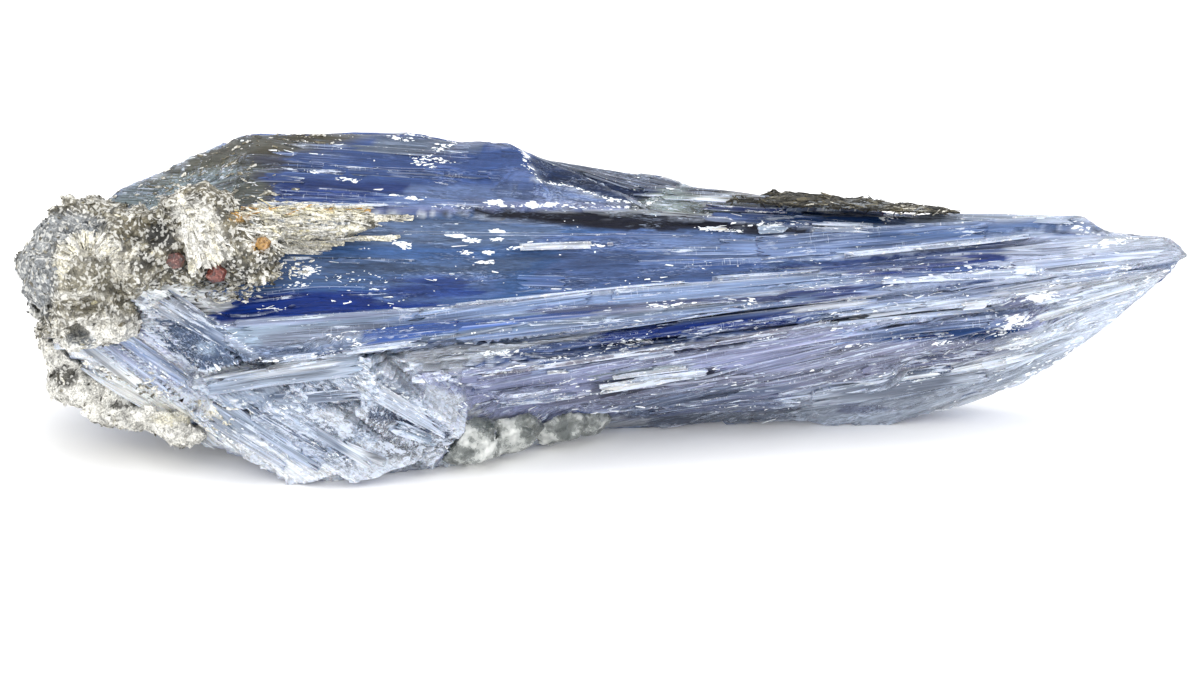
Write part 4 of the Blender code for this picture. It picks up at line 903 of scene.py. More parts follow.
# Blades that stand out: ends on the display plane, width at each end and rise, in mm, and a paint
laths = {
    "seed": 5,
    "named": [
        ((-37.7, 9.4), (-17, 10.7), (2.2, 2.6), 0.25, None),
        ((-37.8, 10.2), (-22.8, 11.3), (0.3, 0.3), 0.4, "mistGrey"),
        ((-22.8, 11.3), (-16.4, 11.8), (0.3, 0.3), 0.35, "mistGrey"),
        ((-20, 10.5), (0.5, 13), (0.9, 1.2), 0.35, None),
        ((-16.4, 11.9), (10, 14.4), (0.3, 0.3), 0.45, "iceBlue"),
        ((0, 13.1), (25.3, 15.1), (1, 0.8), 0.3, None),
        ((10, 14.5), (23.2, 15.5), (0.3, 0.3), 0.5, "iceBlue"),
        ((-33.8, 6.5), (-16, 8.7), (0.6, 0.6), 0.3, "mistGrey"),
        ((-10, 8.4), (20, 12.7), (0.7, 0.4), 0.2, "paleBlue"),
        ((-9.2, 17.9), (0.3, 18.2), (0.7, 0.8), 0.2, "white"),
        ((0.4, 18.2), (1.6, 18.3), (0.4, 0.3), 0.2, "brownLilac"),
        ((14.5, 19.9), (20.2, 19.7), (0.5, 0.4), 0.2, "iceBlue"),
        ((20, 19.8), (28.5, 19.6), (0.4, 0.5), 0.25, "iceBlue"),
        ((10, 19.8), (13.7, 19.7), (0.4, 0.3), 0.3, "cream"),
        ((26.2, 14.3), (45, 15.6), (0.3, 1.2), 0.3, "iceBlue"),
        ((40, 15.5), (44.6, 15.6), (0.8, 0.9), 0.5, "edgeBlue"),
        ((34.8, 11.9), (39.8, 12.5), (0.7, 0.9), 0.4, "white"),
        ((22, 11), (33.5, 12.4), (0.4, 0.5), 0.3, "iceBlue"),
        ((22.6, 10.1), (40, 11.9), (0.4, 0.5), 0.25, "iceBlue"),
        ((28, 12.1), (34, 12.3), (0.3, 0.3), 0.3, "edgeBlue"),
        ((-1.2, 3.6), (11.6, 5.6), (1, 0.8), 0.25, "frostGrey"),
        ((0, 4.9), (10, 6.2), (0.5, 0.5), 0.35, "white"),
        ((-6.4, 5.4), (-2, 5.8), (0.4, 0.3), 0.4, "white"),
        ((-12, 2.2), (-1, 3.5), (1, 0.8), 0.3, "paleBlue"),
        ((-14, 3.5), (4, 6.5), (1.4, 1.4), 0.2, None),
        ((4, 5.9), (26, 9.7), (1.2, 1), 0.25, None),
        ((10, 7.2), (41, 10.9), (0.8, 1), 0.2, None),
        ((21.8, 3.6), (35.2, 5.7), (0.3, 0.4), 0.35, "white"),
        ((36.8, 6.1), (41.8, 6.8), (0.6, 0.7), 0.3, "white"),
        ((29.5, 4.4), (36, 5.6), (0.5, 0.4), 0.25, "palest"),
        ((3.6, 1.5), (19, 3.7), (1.2, 0.8), 0.2, None),
        ((20, 2.7), (40, 5.5), (2, 1.4), 0.25, None),
        ((-13, 5.1), (10, 8.3), (0.5, 0.4), 0.3, "brownLilac"),
        ((10, 8.2), (24.2, 10.6), (0.4, 0.4), 0.3, "brownLilac"),
        ((14.5, 17.7), (40, 19.9), (2.6, 2), 0.2, None),
        ((23, 16.9), (44.6, 19.1), (0.6, 0.5), 0.35, "iceBlue"),
        ((38.5, 20.8), (46.2, 21), (0.5, 0.4), 0.3, "white"),
        ((30, 21), (48.5, 20.7), (0.8, 0.8), 0.3, None),
        ((40, 15.9), (58.4, 17.5), (1, 0.6), 0.25, None),
        ((44, 14.2), (58, 16.1), (0.8, 0.5), 0.2, "iceBlue"),
        ((46, 11.7), (55, 14.5), (1, 0.5), 0.2, "palest"),
        ((40, 9.7), (50, 12.7), (1, 0.8), 0.2, "palest"),
        ((38, 7.7), (48, 10.2), (1, 0.8), 0.25, "palest"),
        ((31, 4.5), (45, 7.7), (1, 0.8), 0.2, "palest"),
        ((-36.4, 22.3), (-20, 22.1), (0.3, 0.3), 0.2, "iceBlue"),
        ((5, 23.1), (18.2, 22.5), (1.2, 1), 0.3, None),
        ((-45, 13.5), (-33.8, 6.5), (3, 1), 0.45, "slate"),
        ((-50.4, 10.9), (-40, 3.7), (1.6, 1), 0.25, "cloudBlue"),
        ((-51, 9.5), (-42, 3.1), (0.8, 0.8), 0.2, None),
        ((-51.2, 11.1), (-45, 7.7), (0.4, 0.4), 0.35, "crossBlue"),
        ((-53, 9.3), (-45, 3.5), (1.2, 1.2), 0.25, None),
        ((-53.8, 7.5), (-42, 0.3), (1.4, 1.2), 0.25, "frostGrey"),
        ((-39.4, 3.5), (-28.8, -3.5), (1.4, 1.4), 0.35, None),
        ((-37.8, 2.3), (-27, -4.7), (1, 0.8), 0.45, None),
        ((-40, 1.5), (-30, -4.7), (1, 1), 0.35, "mistGrey"),
        ((-36.4, 2.7), (-26, -3.1), (0.6, 0.5), 0.3, "slate"),
        ((-40.8, 4.3), (-33.8, 5.9), (0.5, 0.4), 0.4, "crossBlue"),
        ((-40.4, 3.9), (-22, 6.5), (1.8, 2), 0.4, None),
        ((-34.4, 5.3), (-26, 6.7), (0.8, 0.5), 0.65, "crossBlue"),
        ((-33.8, 2.5), (-22.8, 3.5), (1.2, 1), 0.35, None),
        ((-25.5, 5.5), (-16, -0.3), (2, 1.4), 0.5, "crossBlue"),
        ((-24, 4.3), (-14.4, -1.1), (1.2, 0.8), 0.7, "edgeBlue"),
        ((-22, 0.7), (-14, -2.5), (1.6, 0.8), 0.4, "steel"),
        ((-30, 0.7), (-22, -4.3), (1, 1), 0.4, None),
        ((-27, -1.3), (-18, -4.9), (1.2, 1), 0.35, None),
        ((17, 21.6), (31.5, 21.2), (0.6, 0.5), 0.8, "inkBlue"),
        ((9, 21.9), (20, 21.4), (0.6, 0.5), 0.7, "deepBlue"),
        ((28, 8.8), (41.2, 9.7), (0.4, 0.4), 0.15, "deepBlue"),
        ((24, 4.1), (36.5, 6.1), (1.4, 1.2), 0.3, "deepSlate"),
        ((25, 5.4), (40, 7.7), (1.2, 1), 0.3, "mauve"),
        ((14.4, 19.6), (20, 19.8), (0.8, 0.7), 0.3, "steel"),
        ((20, 20.3), (28.5, 19.9), (0.5, 0.5), 0.35, "iceBlue"),
        ((2, 6.7), (8.8, 7.5), (0.6, 0.7), 0.3, "edgeBlue"),
        ((1.3, 4.3), (11.9, 5.8), (0.6, 0.8), 0.35, "edgeBlue"),
    ],
    "namedThick": 0.5, "namedStreak": 0.07, "whiteRagged": 0.3,
    "scattered": 430, "length": (6.0, 36.0), "width": (0.3, 1.5), "rise": (0.0, 0.12), "thick": (0.15, 0.35),
    "lowest": 1.0, "farthest": 50.0,  # no scattered blade starts below or beyond these, in mm
    "shortenTo": 60.0, "slimFrom": 25.0,  # they grow shorter towards one place and are slim beyond the other
    "calmShare": 0.12,  # how many of them are left on the smooth faces
    "rearEdges": (0.0, 0.14, 0.34, 0.5, 0.62, 0.74, 0.86, 0.95), "wornEdge": 0.3,
    "paintCell": (1.6, 0.24, 1.0),  # a lath's own paint covers it in cells of this size, in mm
    "turnedAway": 0.3,  # how far a face may turn from the eye and still take the front's bands
    "drift": (8.0, 0.8),  # how far a blade's tone moves the bands on it, across and up
    "edgeFrost": 0.04, "paintFrost": 0.06,
}


def isCalm(seen):
    return any(ovalReach(seen, centre, radii) < 1 for centre, radii, _ in body["smooth"])


def makeLedges(roll):  # the blades that are named one by one
    whole = newGathering()
    for left, right, widths, rise, paint in laths["named"]:
        spots, outs = spotsFromEye(bodyTree, left, right)
        if spots is not None:
            layBlade(whole, spots, outs, widths, rise, laths["namedThick"], roll, roll.uniform(0.94, 1.08), paint,
                     laths["whiteRagged"] if paint == "white" else 1.0, laths["namedStreak"])
    finishBlades("kyanite_ledge_blades", whole)


def makeThinBlades(roll):  # the scattered ones
    front, rear = newGathering(), newGathering()
    fade = laths["shortenTo"]
    laid = 0
    while laid < laths["scattered"]:
        start, normal = pickedFace(roll, bodyPiece.data)
        if start.z < laths["lowest"] or abs(start.x) > laths["farthest"]:
            continue
        facing = -normal.dot(sightWay) > 0
        seen = seenSpot(start)
        if facing and (isCalm(seen) and roll.random() > laths["calmShare"] or crossShare(seen[None])[0] > 0.5):
            continue
        length = roll.uniform(*laths["length"]) * min(1.0, (fade - start.x) / fade)
        spots, outs = spotsAlongFan(bodyTree, start, normal, length)
        if spots is None:
            continue
        width = roll.uniform(*laths["width"]) * (0.5 if start.x > laths["slimFrom"] else 1.0)
        narrow = width * roll.uniform(0.5, 0.9)
        layBlade(front if facing else rear, spots, outs, (width, narrow), roll.uniform(*laths["rise"]),
                 roll.uniform(*laths["thick"]), roll, roll.uniform(0.8, 1.25))
        laid += 1
    finishBlades("kyanite_thin_blades", front)
    finishBlades("kyanite_rear_blades", rear)


# White slivers and crumbs lifted from the cleavage faces
slivers = {
    "seed": 12, "count": 2600, "length": (0.12, 1.7), "width": (0.04, 0.13), "height": (0.02, 0.07),
    "stray": 0.16,  # how far their lines stray from the fibre
    "paints": ("white", "white", "edgeBlue", "iceBlue", "cloudBlue"),
    "frost": 0.3, "flakeHeight": 0.03, "batch": 120,
    "lowest": 0.8, "farthest": 53.0,  # none lies below or beyond these, in mm
    "drift": (7.0, 2.5, 2.5), "clump": 1.5,  # the sizes of the drifts and clumps they crowd in, in mm
    "crowd": (0.25, 1.1, 0.7),  # how crowded they are everywhere, and by drift and by clump
    "calmCrowd": 0.25, "facing": 0.2,  # the share left on calm faces, and where a face stops facing the front
    # crumbled flakes: how far a spread goes across and up, how their lines stray, their least size and
    # what is added to it at most, and their width as a share of it
    "crumbSpread": (1.8, 0.6), "crumbStray": 0.2, "crumbSize": (0.25, 1.3), "crumbWidth": (0.16, 0.5),
    # crumbled places: how many flakes, how far they stray, their size, paint and course on the display plane
    "crumbled": (
        (420, 1.1, 1.1, "white", ((-45.6, 15.3), (-43.4, 14.5), (-41.8, 13.2))),
        (60, 0.1, 0.4, "edgeBlue", ((-22, 29.6), (-17, 28.9), (-10, 28.8))),
        (80, 0.15, 0.6, "white", ((-9.2, 17.9), (0.3, 18.2))),
        (77, 0.1, 0.5, "white", ((-9.5, 28.8), (-8, 28.2), (-7.4, 27.1), (-7.4, 26.3))),
        (119, 0.12, 0.45, "white", (
            (-7.4, 26.3), (-6.8, 25.3), (-6, 24.6), (-3.4, 24.2), (-1.2, 23.5), (1.4, 22.7), (4, 22.4))),
        (63, 0.22, 0.5, "white", ((-17, 27), (-16.4, 27.7), (-15.6, 28.1), (-14.4, 28.4))),
        (49, 0.2, 0.45, "edgeBlue", ((-19.2, 27.1), (-17.6, 26.9), (-16, 26.7), (-14.8, 26.5))),
        (35, 0.15, 0.4, "edgeBlue", ((-18.6, 26.5), (-17.5, 26.3), (-16.4, 26))),
        (42, 0.2, 0.5, "white", ((-20.8, 29.1), (-19.8, 28.8), (-19.2, 28.7))),
        (21, 0.2, 0.5, "white", ((-28.6, 25.7), (-28.2, 25.4))),
        (28, 0.15, 0.5, "white", ((-26.4, 24.9), (-24.8, 24.7), (-23.8, 24.7))),
        (63, 0.18, 0.6, "white", ((-20.8, 22.8), (-20, 22.9), (-18.4, 22.7))),
        (119, 0.18, 0.4, "white", ((-17, 22), (-13, 22.1), (-8, 22.1), (-4, 22.1), (0, 21.9), (4, 22))),
        (42, 0.25, 0.8, "white", ((-11.2, 22.5), (-10, 22.3))),
        (35, 0.2, 0.7, "white", ((-7.2, 22.3), (-6.6, 22.2))),
        (28, 0.2, 0.7, "white", ((-5.2, 22.3), (-4.8, 22.2))),
        (42, 0.2, 0.9, "white", ((-14.8, 19.3), (-13.8, 19.1))),
        (35, 0.15, 0.6, "white", ((-13.4, 18.7), (-12.2, 18.6))),
        (35, 0.15, 0.7, "white", ((-10.8, 19.6), (-10, 19.4))),
        (28, 0.15, 0.6, "white", ((-10.8, 18.8), (-9.8, 18.7))),
        (28, 0.15, 0.5, "white", ((-13.8, 17.5), (-13.2, 17.4))),
        (28, 0.12, 0.5, "white", ((-11.6, 17.5), (-11, 17.4))),
        (35, 0.15, 0.5, "white", ((-11.8, 16.5), (-11, 16.4))),
        (35, 0.25, 0.6, "edgeBlue", ((-20.4, 18.5), (-19.2, 18.1))),
        (63, 0.3, 0.6, "white", ((-29.6, 16.1), (-28.6, 15.6), (-30, 15.1))),
        (28, 0.2, 0.5, "white", ((-24, 13.3), (-22.2, 13.7))),
        (42, 0.6, 0.35, "white", ((-28, 15.1), (-25, 14.7), (-20, 14.9))),
        (28, 0.3, 0.4, "edgeBlue", ((-30.2, 14), (-29.6, 14.3))),
        (98, 0.12, 0.35, "edgeBlue", ((-37.6, 10.1), (-33.8, 10.6), (-30, 11), (-22.7, 11.5), (-16.8, 11.8))),
        (112, 0.1, 0.3, "edgeBlue", ((-16.4, 11.8), (-8, 12.8), (0, 13.6), (10, 14.4), (18, 15.1), (23.2, 15.5))),
        (77, 0.35, 0.6, "white", ((-16, 11), (-14, 11.3), (-10, 11.6), (-6, 12.1))),
        (63, 0.2, 0.5, "edgeBlue", ((-27, 9.1), (-25.5, 8.7), (-24, 8.1))),
        (56, 0.35, 0.8, "white", ((5.4, 11.8), (6.8, 12.2), (8.4, 12.2))),
        (42, 0.25, 0.6, "white", ((14, 12.3), (15.2, 12.6))),
        (56, 0.2, 0.6, "white", ((-11.6, 7.5), (-10, 7.3), (-8.6, 7.6))),
        (63, 0.15, 0.5, "edgeBlue", ((-6, 6.5), (0, 7.5), (4, 8.1))),
        (56, 0.25, 0.6, "white", ((1.2, 8.1), (3.2, 8.6), (5.2, 8.7))),
        (105, 0.25, 0.8, "white", ((-1.2, 3.5), (4, 4.5), (8, 5.2), (11.4, 5.9))),
        (84, 0.3, 0.8, "white", ((18.2, 11.3), (20, 11.7), (24, 12.3), (27.5, 12.7))),
        (84, 0.4, 0.6, "white", ((26.2, 14.3), (33, 15.3), (40, 15.9), (44.6, 15.7))),
        (77, 0.3, 0.6, "white", ((41, 21.5), (45.6, 21.2), (47, 20.5), (48.5, 19.7), (49.8, 19.1))),
        (63, 0.3, 0.8, "iceBlue", ((40, 9.3), (41.2, 10.1), (43, 11.1))),
        (49, 0.3, 0.8, "edgeBlue", ((40.2, 10.9), (41.2, 10.5), (42.6, 11.1))),
        (63, 0.4, 0.9, "edgeBlue", ((43, 12.7), (44.4, 12.9), (46, 13.1))),
        (42, 0.3, 0.9, "white", ((46.8, 12.3), (48.4, 12.3))),
        (42, 0.3, 0.8, "white", ((49.6, 18.1), (51, 18.5), (53, 18.5))),
        (112, 0.25, 0.6, "white", ((57.8, 16.3), (55, 14.6), (52, 12.3), (50, 10.3), (46, 6.9), (40, 3.5))),
        (63, 0.3, 0.6, "white", ((-41, 4.9), (-37, 5.9), (-34, 6.1))),
        (49, 0.25, 0.6, "white", ((-33.8, 6.5), (-30, 7), (-26.3, 7.4))),
        (84, 0.35, 0.7, "white", ((-26, 5.9), (-23.5, 4.7), (-20, 2.9), (-16, 0.7))),
        (84, 0.5, 0.8, "white", ((-40.4, 0.1), (-36, -1.9), (-31, -4.1), (-26.8, -5.7))),
        (77, 0.15, 0.3, "white", ((-40.4, 11.7), (-37.7, 9.8), (-36, 8.5), (-33.8, 6.6))),
        (112, 0.7, 0.8, "white", ((-45.4, 15.1), (-43.4, 14.3), (-41.6, 12.9))),
        (42, 0.6, 0.5, "white", ((-33.8, 2.7), (-31.6, 1.7), (-30.8, 0.7))),
        (84, 0.8, 0.5, "frostGrey", ((-54, 7.7), (-51, 4.7), (-46, 1.9), (-41, -0.3))),
        (50, 0.2, 0.7, "white", ((23.8, 8.2), (25.2, 8.3), (26.8, 8.4))),
        (40, 0.15, 0.6, "white", ((33, 8.3), (34.6, 8.5))),
        (50, 0.25, 0.7, "white", ((41.3, 7.9), (43, 8.5))),
        (60, 0.25, 0.8, "edgeBlue", ((43, 13.1), (44.8, 12.7))),
        (60, 0.15, 0.5, "edgeBlue", ((4.8, 22.1), (6, 23.5), (7.2, 24))),
        (70, 0.3, 0.5, "edgeBlue", ((8, 23.7), (10, 23.7), (17, 22.9))),
        (80, 0.2, 0.5, "white", ((14.5, 20.1), (19, 20.3), (25, 20.1), (28.5, 19.7))),
        (60, 0.2, 0.6, "white", ((10, 19.9), (13.8, 19.6))),
        (60, 0.25, 0.6, "white", ((28.4, 20.7), (29.4, 21.5), (30.2, 21.7))),
        (40, 0.2, 0.6, "white", ((30.5, 21.5), (32, 21.5))),
    ),
}


def markChip(batch, verts, paint, number):
    layers = batch.verts.layers
    for vert in verts:
        for name, value in (("tone", 1.0), ("edge", 1.0), ("paint", 1 + paintList.index(paint))):
            vert[layers.float[name]] = value
        vert[layers.float_vector["fibre"]] = (number * 3.1, number * 1.7, 0)


def addSliver(batch, spot, normal, line, size, paint, roll, number):  # an uneven splinter, size in mm
    length, width, height = size
    side = normal.cross(line).normalized()
    up = (normal + line * roll.gauss(0, 0.08)).normalized()
    turn = turned(spot + normal * (height * 0.4), line * length / 2, side * width / 2, up * height)
    taper = roll.uniform(0.1, 0.8)
    tipped = roll.choice((-1, 1))
    made = bmesh.ops.create_cube(batch, size=2.0, matrix=turn)["verts"]
    for vert in made:
        reach = (vert.co - spot).dot(line) * tipped
        if reach > 0:
            middle = spot + line * (reach * tipped)
            vert.co = middle + (vert.co - middle) * taper
        vert.co += line * roll.uniform(-0.22, 0.22) * length + side * roll.uniform(-0.5, 0.5) * width
    markChip(batch, made, paint, number)


def addFlake(batch, spot, normal, line, size, paint, roll, number):  # a flat flake with a ragged outline
    length, width, height = size
    side = normal.cross(line).normalized()
    up = (normal + line * roll.gauss(0, 0.12) + side * roll.gauss(0, 0.2)).normalized()
    turn = turned(spot + normal * (height * 0.3), line * length / 2, side * width / 2, up * height)
    made = bmesh.ops.create_cone(batch, cap_ends=True, segments=roll.randint(5, 8), radius1=1.0,
                                 radius2=roll.uniform(0.4, 0.8), depth=2.0, matrix=turn)["verts"]
    for vert in made:
        away = vert.co - spot
        vert.co = spot + away * roll.uniform(0.55, 1.25) + line * roll.uniform(-0.15, 0.15) * length
    markChip(batch, made, paint, number)


def strewSlivers(whole, roll):  # over the whole mass, crowded in drifts
    batch = newGathering()
    low, high = slivers["length"]
    everywhere, byDrift, byClump = slivers["crowd"]
    laid = 0
    while laid < slivers["count"]:
        spot, normal = pickedFace(roll, bodyPiece.data)
        seen = seenSpot(spot)
        drift = noise.noise(Vector([part / size for part, size in zip(spot, slivers["drift"])]))
        front = normal.y < slivers["facing"]
        crowd = everywhere + byDrift * drift + noise.noise(spot / slivers["clump"]) * byClump
        crowd *= slivers["calmCrowd"] if front and isCalm(seen) else 1.0
        if spot.z < slivers["lowest"] or spot.x > slivers["farthest"] or roll.random() > crowd:
            continue
        line = Vector(fan["meeting"]) - spot
        if front and crossShare(seen[None])[0] > 0.5:
            line = Vector(fan["crossLine"])
        line = (laidFlat(line, normal) + strayed(roll, slivers["stray"])).normalized()
        paint = roll.choice(slivers["paints"])
        length = low + (high - low) * roll.random() ** 5
        size = length, roll.uniform(*slivers["width"]), roll.uniform(*slivers["height"])
        addSliver(batch, spot, normal, line, size, paint, roll, laid)
        laid += 1
        if laid % slivers["batch"] == 0:
            gatherInto(whole, batch)
            batch = newGathering()
    gatherInto(whole, batch)


def crumble(whole, roll):  # flakes along the courses of the crumbled places
    laid = slivers["count"]
    spreadAcross, spreadUp = slivers["crumbSpread"]
    least, more = slivers["crumbSize"]
    for count, spread, share, paint, course in slivers["crumbled"]:
        batch = newGathering()
        course = np.array(course, float)
        along = np.concatenate(((0,), np.cumsum(np.linalg.norm(np.diff(course, axis=0), axis=1))))
        for _ in range(count):
            place = roll.uniform(0, along[-1])
            across = np.interp(place, along, course[:, 0]) + roll.gauss(0, spread * spreadAcross)
            up = np.interp(place, along, course[:, 1]) + roll.gauss(0, spread * spreadUp)
            spot, normal = eyeHit(bodyTree, across, up)
            if spot is None:
                continue
            line = strayed(roll, slivers["crumbStray"]) + (Vector(fan["meeting"]) - spot).normalized()
            if crossShare(np.array([[across, up]]))[0] > 0.5:
                line = strayed(roll, slivers["crumbStray"]) + Vector(fan["crossLine"])
            size = share * (least + more * roll.random() ** 2)
            shade = roll.choice((paint, "edgeBlue", "iceBlue"))
            addFlake(batch, spot, normal, laidFlat(line, normal),
                     (size, size * roll.uniform(*slivers["crumbWidth"]), slivers["flakeHeight"]), shade, roll,
                     laid)
            laid += 1
        gatherInto(whole, batch)


def makeSlivers():
    roll = random.Random(slivers["seed"])
    whole = newGathering()
    strewSlivers(whole, roll)
    crumble(whole, roll)
    bmesh.ops.recalc_face_normals(whole, faces=whole.faces)
    finishBlades("kyanite_slivers", whole, slivers["frost"])


bodyTree = pieceTree(bodyPiece)
lathRoll = random.Random(laths["seed"])
makeLedges(lathRoll)
makeThinBlades(lathRoll)
makeSlivers()


# Mica schist, split and crumbled into scales. Silvery and pearly, grey and olive where stained, with a fine grain
# of near-black specks; random scales are painted near white as glints, a painted highlight.
def micaMaterial(name, rough, glint, paintedGlintMost):
    made, tree = newMaterial(name)
    tint = addNode(tree, "ShaderNodeAttribute", {"attribute_name": "tint"}).outputs["Color"]
    place = addNode(tree, "ShaderNodeTexCoord").outputs["Object"]
    grain = addNode(tree, "ShaderNodeTexNoise", {"Scale": 5200.0, "Detail": 4.0, "Roughness": 0.75}, Vector=place)
    clump = addNode(tree, "ShaderNodeTexNoise", {"Scale": 900.0, "Detail": 4.0, "Roughness": 0.6}, Vector=place)
    scale = addNode(tree, "ShaderNodeTexVoronoi", {"Scale": 3400.0}, Vector=place)  # scales about 0.3 mm
    shade = tint
    for source, stops in ((grain, ((0.36, 0.30), (0.46, 0.85), (0.54, 1.1), (0.64, 1.7))),
                          (clump, ((0.36, 0.40), (0.5, 0.78), (0.64, 1.08)))):
        ramp = rampStops(addNode(tree, "ShaderNodeValToRGB", Fac=source.outputs["Fac"]), stops)
        shade = addNode(tree, "ShaderNodeMix", {"data_type": "RGBA", "blend_type": "MULTIPLY", 0: 1.0},
                        at6=shade, at7=ramp.outputs["Color"]).outputs[2]
    # painted glints: random scales are mixed toward near white in the base colour, a painted highlight
    paintedGlint = addNode(tree, "ShaderNodeMapRange", {1: 0.70, 2: 0.78, 3: 0.0, 4: paintedGlintMost},
                    Value=addNode(tree, "ShaderNodeSeparateColor", Color=scale.outputs["Color"]).outputs[0])
    lit = addNode(tree, "ShaderNodeMix", {"data_type": "RGBA", 7: (*linear("#f6f5ef"), 1)},
                  Factor=paintedGlint.outputs[0], at6=shade)
    relief = addNode(tree, "ShaderNodeMath", {"operation": "ADD"}, at0=grain.outputs["Fac"],
                     at1=scale.outputs["Distance"])
    bump = addNode(tree, "ShaderNodeBump", {"Strength": 0.7, "Distance": 0.00014}, Height=relief.outputs[0])
    finishMaterial(tree, addNode(tree, "ShaderNodeBsdfPrincipled", {
        "IOR": 1.58, "Roughness": rough, "Coat Weight": glint, "Coat Roughness": 0.18,
    }, **{"Base Color": lit.outputs[2], "Normal": bump.outputs[0]}))
    return made


micaFinish = micaMaterial("muscovite_mica_scales", 0.42, 0.25, 0.55)
rindFinish = micaMaterial("weathered_dark_mica_crust", 0.62, 0.08, 0.0)

stones = {
    "silver": "#e0dccf", "white": "#f2f0e8", "grey": "#a39e8d", "pewter": "#7d7866", "olive": "#675f47",
    "dark": "#3a372c", "black": "#1d1c17", "straw": "#d9cfa6", "honey": "#cf9c3e", "blueGrey": "#8f9499",
    "cream": "#efe9d2",
}


def evenCopy(node, cell):  # a CAD node's mesh rebuilt in even cells, in mm
    holder = placed("holder", meshFrom(mergedCopy(node), node))
    change = holder.modifiers.new("even", "REMESH")
    change.mode = "VOXEL"
    change.voxel_size = cell
    mesh = bpy.data.meshes.new_from_object(holder.evaluated_get(bpy.context.evaluated_depsgraph_get()))
    bpy.data.objects.remove(holder)
    return mesh


def roughen(mesh, sizes, stretch=(1.0, 1.0, 1.0)):  # sizes: feature size and height in mm
    points, normals = meshArrays(mesh)
    lift = np.zeros(len(points))
    for k, (size, height) in enumerate(sizes):
        lift += [noise.noise(Vector(p / stretch) / size + Vector((k, 7, 3))) * height for p in points]
    points = aboveRest(points + normals * lift[:, None])
    placeMesh(mesh, points)
    return points, meshArrays(mesh)[1], lift


def mottled(points, lift, scale, stops):  # colours picked by noise and by the relief's height, so low places take darker stones and high places paler ones: (share, stone) from low to high
    picks = 0.5 + lift * 0.6
    for size, weight in ((scale, 0.5), (scale * 0.35, 0.35)):
        picks += [noise.noise(Vector(p) / size) * weight for p in points]
    shares = [share for share, _ in stops]
    colours = np.array([linear(stones[name]) for _, name in stops])
    return np.stack([np.interp(picks, shares, colours[:, k]) for k in range(3)], axis=1)


# The schist matrix
matrix = {
    "cell": 0.28, "mottleScale": 0.7,
    "relief": ((3.4, 0.5), (1.3, 0.3), (0.5, 0.2)),
    "mottle": ((0.17, "black"), (0.35, "dark"), (0.49, "olive"), (0.6, "pewter"), (0.73, "grey"),
               (0.9, "silver")),
    # patches on the display plane: centre, radii, stone and strength
    "patches": (
        ((-51.5, 16.6), (4.4, 2.6), "silver", 0.6), ((-51.2, 15.0), (3.4, 2.2), "pewter", 0.9),
        ((-54.0, 16.2), (0.9, 1.5), "cream", 0.9), ((-52.8, 18.2), (1.2, 0.8), "white", 0.95),
        ((-50.8, 18.9), (1.5, 0.6), "cream", 0.95), ((-48.8, 18.2), (1.1, 0.6), "white", 0.9),
        ((-52.0, 13.2), (3.0, 0.5), "white", 0.8), ((-48.4, 15.6), (0.6, 1.8), "silver", 0.8),
        ((-46.6, 20.6), (2.6, 1.4), "olive", 0.8),
        ((-56.4, 15.5), (2.2, 5.0), "blueGrey", 0.85), ((-53.5, 20.0), (4.4, 1.6), "blueGrey", 0.85),
        ((-50.0, 12.0), (5.0, 3.0), "pewter", 0.5), ((-40.6, 20.8), (2.4, 2.6), "white", 0.85),
        # the black patch at (-44, 19) is painted shade in a cavity between the lumps
        ((-38.4, 18.0), (1.8, 2.8), "white", 0.7), ((-44.0, 19.0), (1.7, 1.3), "black", 0.95),
        ((-45.6, 16.6), (1.4, 1.0), "dark", 0.8), ((-36.4, 19.8), (1.7, 1.5), "olive", 0.8),
        ((-36.0, 15.8), (1.6, 1.6), "dark", 0.6), ((-34.0, 18.2), (1.0, 0.8), "honey", 0.8),
        ((-36.0, 21.0), (1.2, 0.5), "honey", 0.8), ((-30.0, 21.0), (4.0, 0.8), "cream", 0.9),
        ((-28.0, 19.6), (5.0, 1.2), "cream", 0.9), ((-38.6, 23.0), (3.0, 1.4), "olive", 0.6),
        ((-49.0, 5.0), (9.0, 6.4), "white", 0.9), ((-42.0, 1.0), (6.0, 3.4), "white", 0.9),
        ((-52.0, 8.8), (1.6, 0.9), "blueGrey", 0.9), ((-51.0, 6.2), (1.2, 0.6), "pewter", 0.8),
        ((-53.6, 5.0), (1.5, 1.2), "dark", 0.9), ((-47.6, 2.2), (1.6, 0.5), "dark", 0.8),
        ((-45.0, 5.6), (4.0, 0.8), "blueGrey", 0.5), ((-43.0, 0.8), (2.4, 0.7), "cream", 0.8),
    ),
}


def paintPatches(colour, seen, patches, front=1.0):
    for centre, radii, stone, strength in patches:
        reach = np.linalg.norm((seen - centre) / radii, axis=1)
        mask = (strength * (1 - smoothShare(reach, 0.6, 1.15)) * front)[:, None]
        colour[:] = colour * (1 - mask) + linear(stones[stone]) * mask


def makeMatrix():
    mesh = evenCopy("mica_matrix", matrix["cell"])
    points, normals, lift = roughen(mesh, matrix["relief"])
    colour = mottled(points, lift, matrix["mottleScale"], matrix["mottle"])
    paintPatches(colour, seenPlace(points), matrix["patches"], -(normals @ sightLine) > -0.2)
    storeTint(mesh, colour)
    piece = finishPiece("mica_schist_body", mesh, micaFinish)
    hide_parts("mica_matrix")
    return piece


# The dark crust above the blades
rind = {
    "cell": 0.25, "mottleScale": 0.8,
    "stretch": (4.0, 1.0, 1.0),  # its relief and mottle are drawn out along it
    "mottle": ((0.3, "black"), (0.62, "dark"), (0.9, "olive")),
    "lowEdge": 22.15, "fall": -0.055,  # where its lower edge shows at 24 mm across, and its slope
    "relief": ((2.0, 0.22), (0.7, 0.2), (0.3, 0.1)),
    # its right end thins out over pale blades: centre, radii, stone and strength
    "patches": (((26.6, 22.0), (2.4, 1.2), "blueGrey", 0.75), ((30.4, 21.5), (2.4, 1.1), "silver", 0.8)),
}


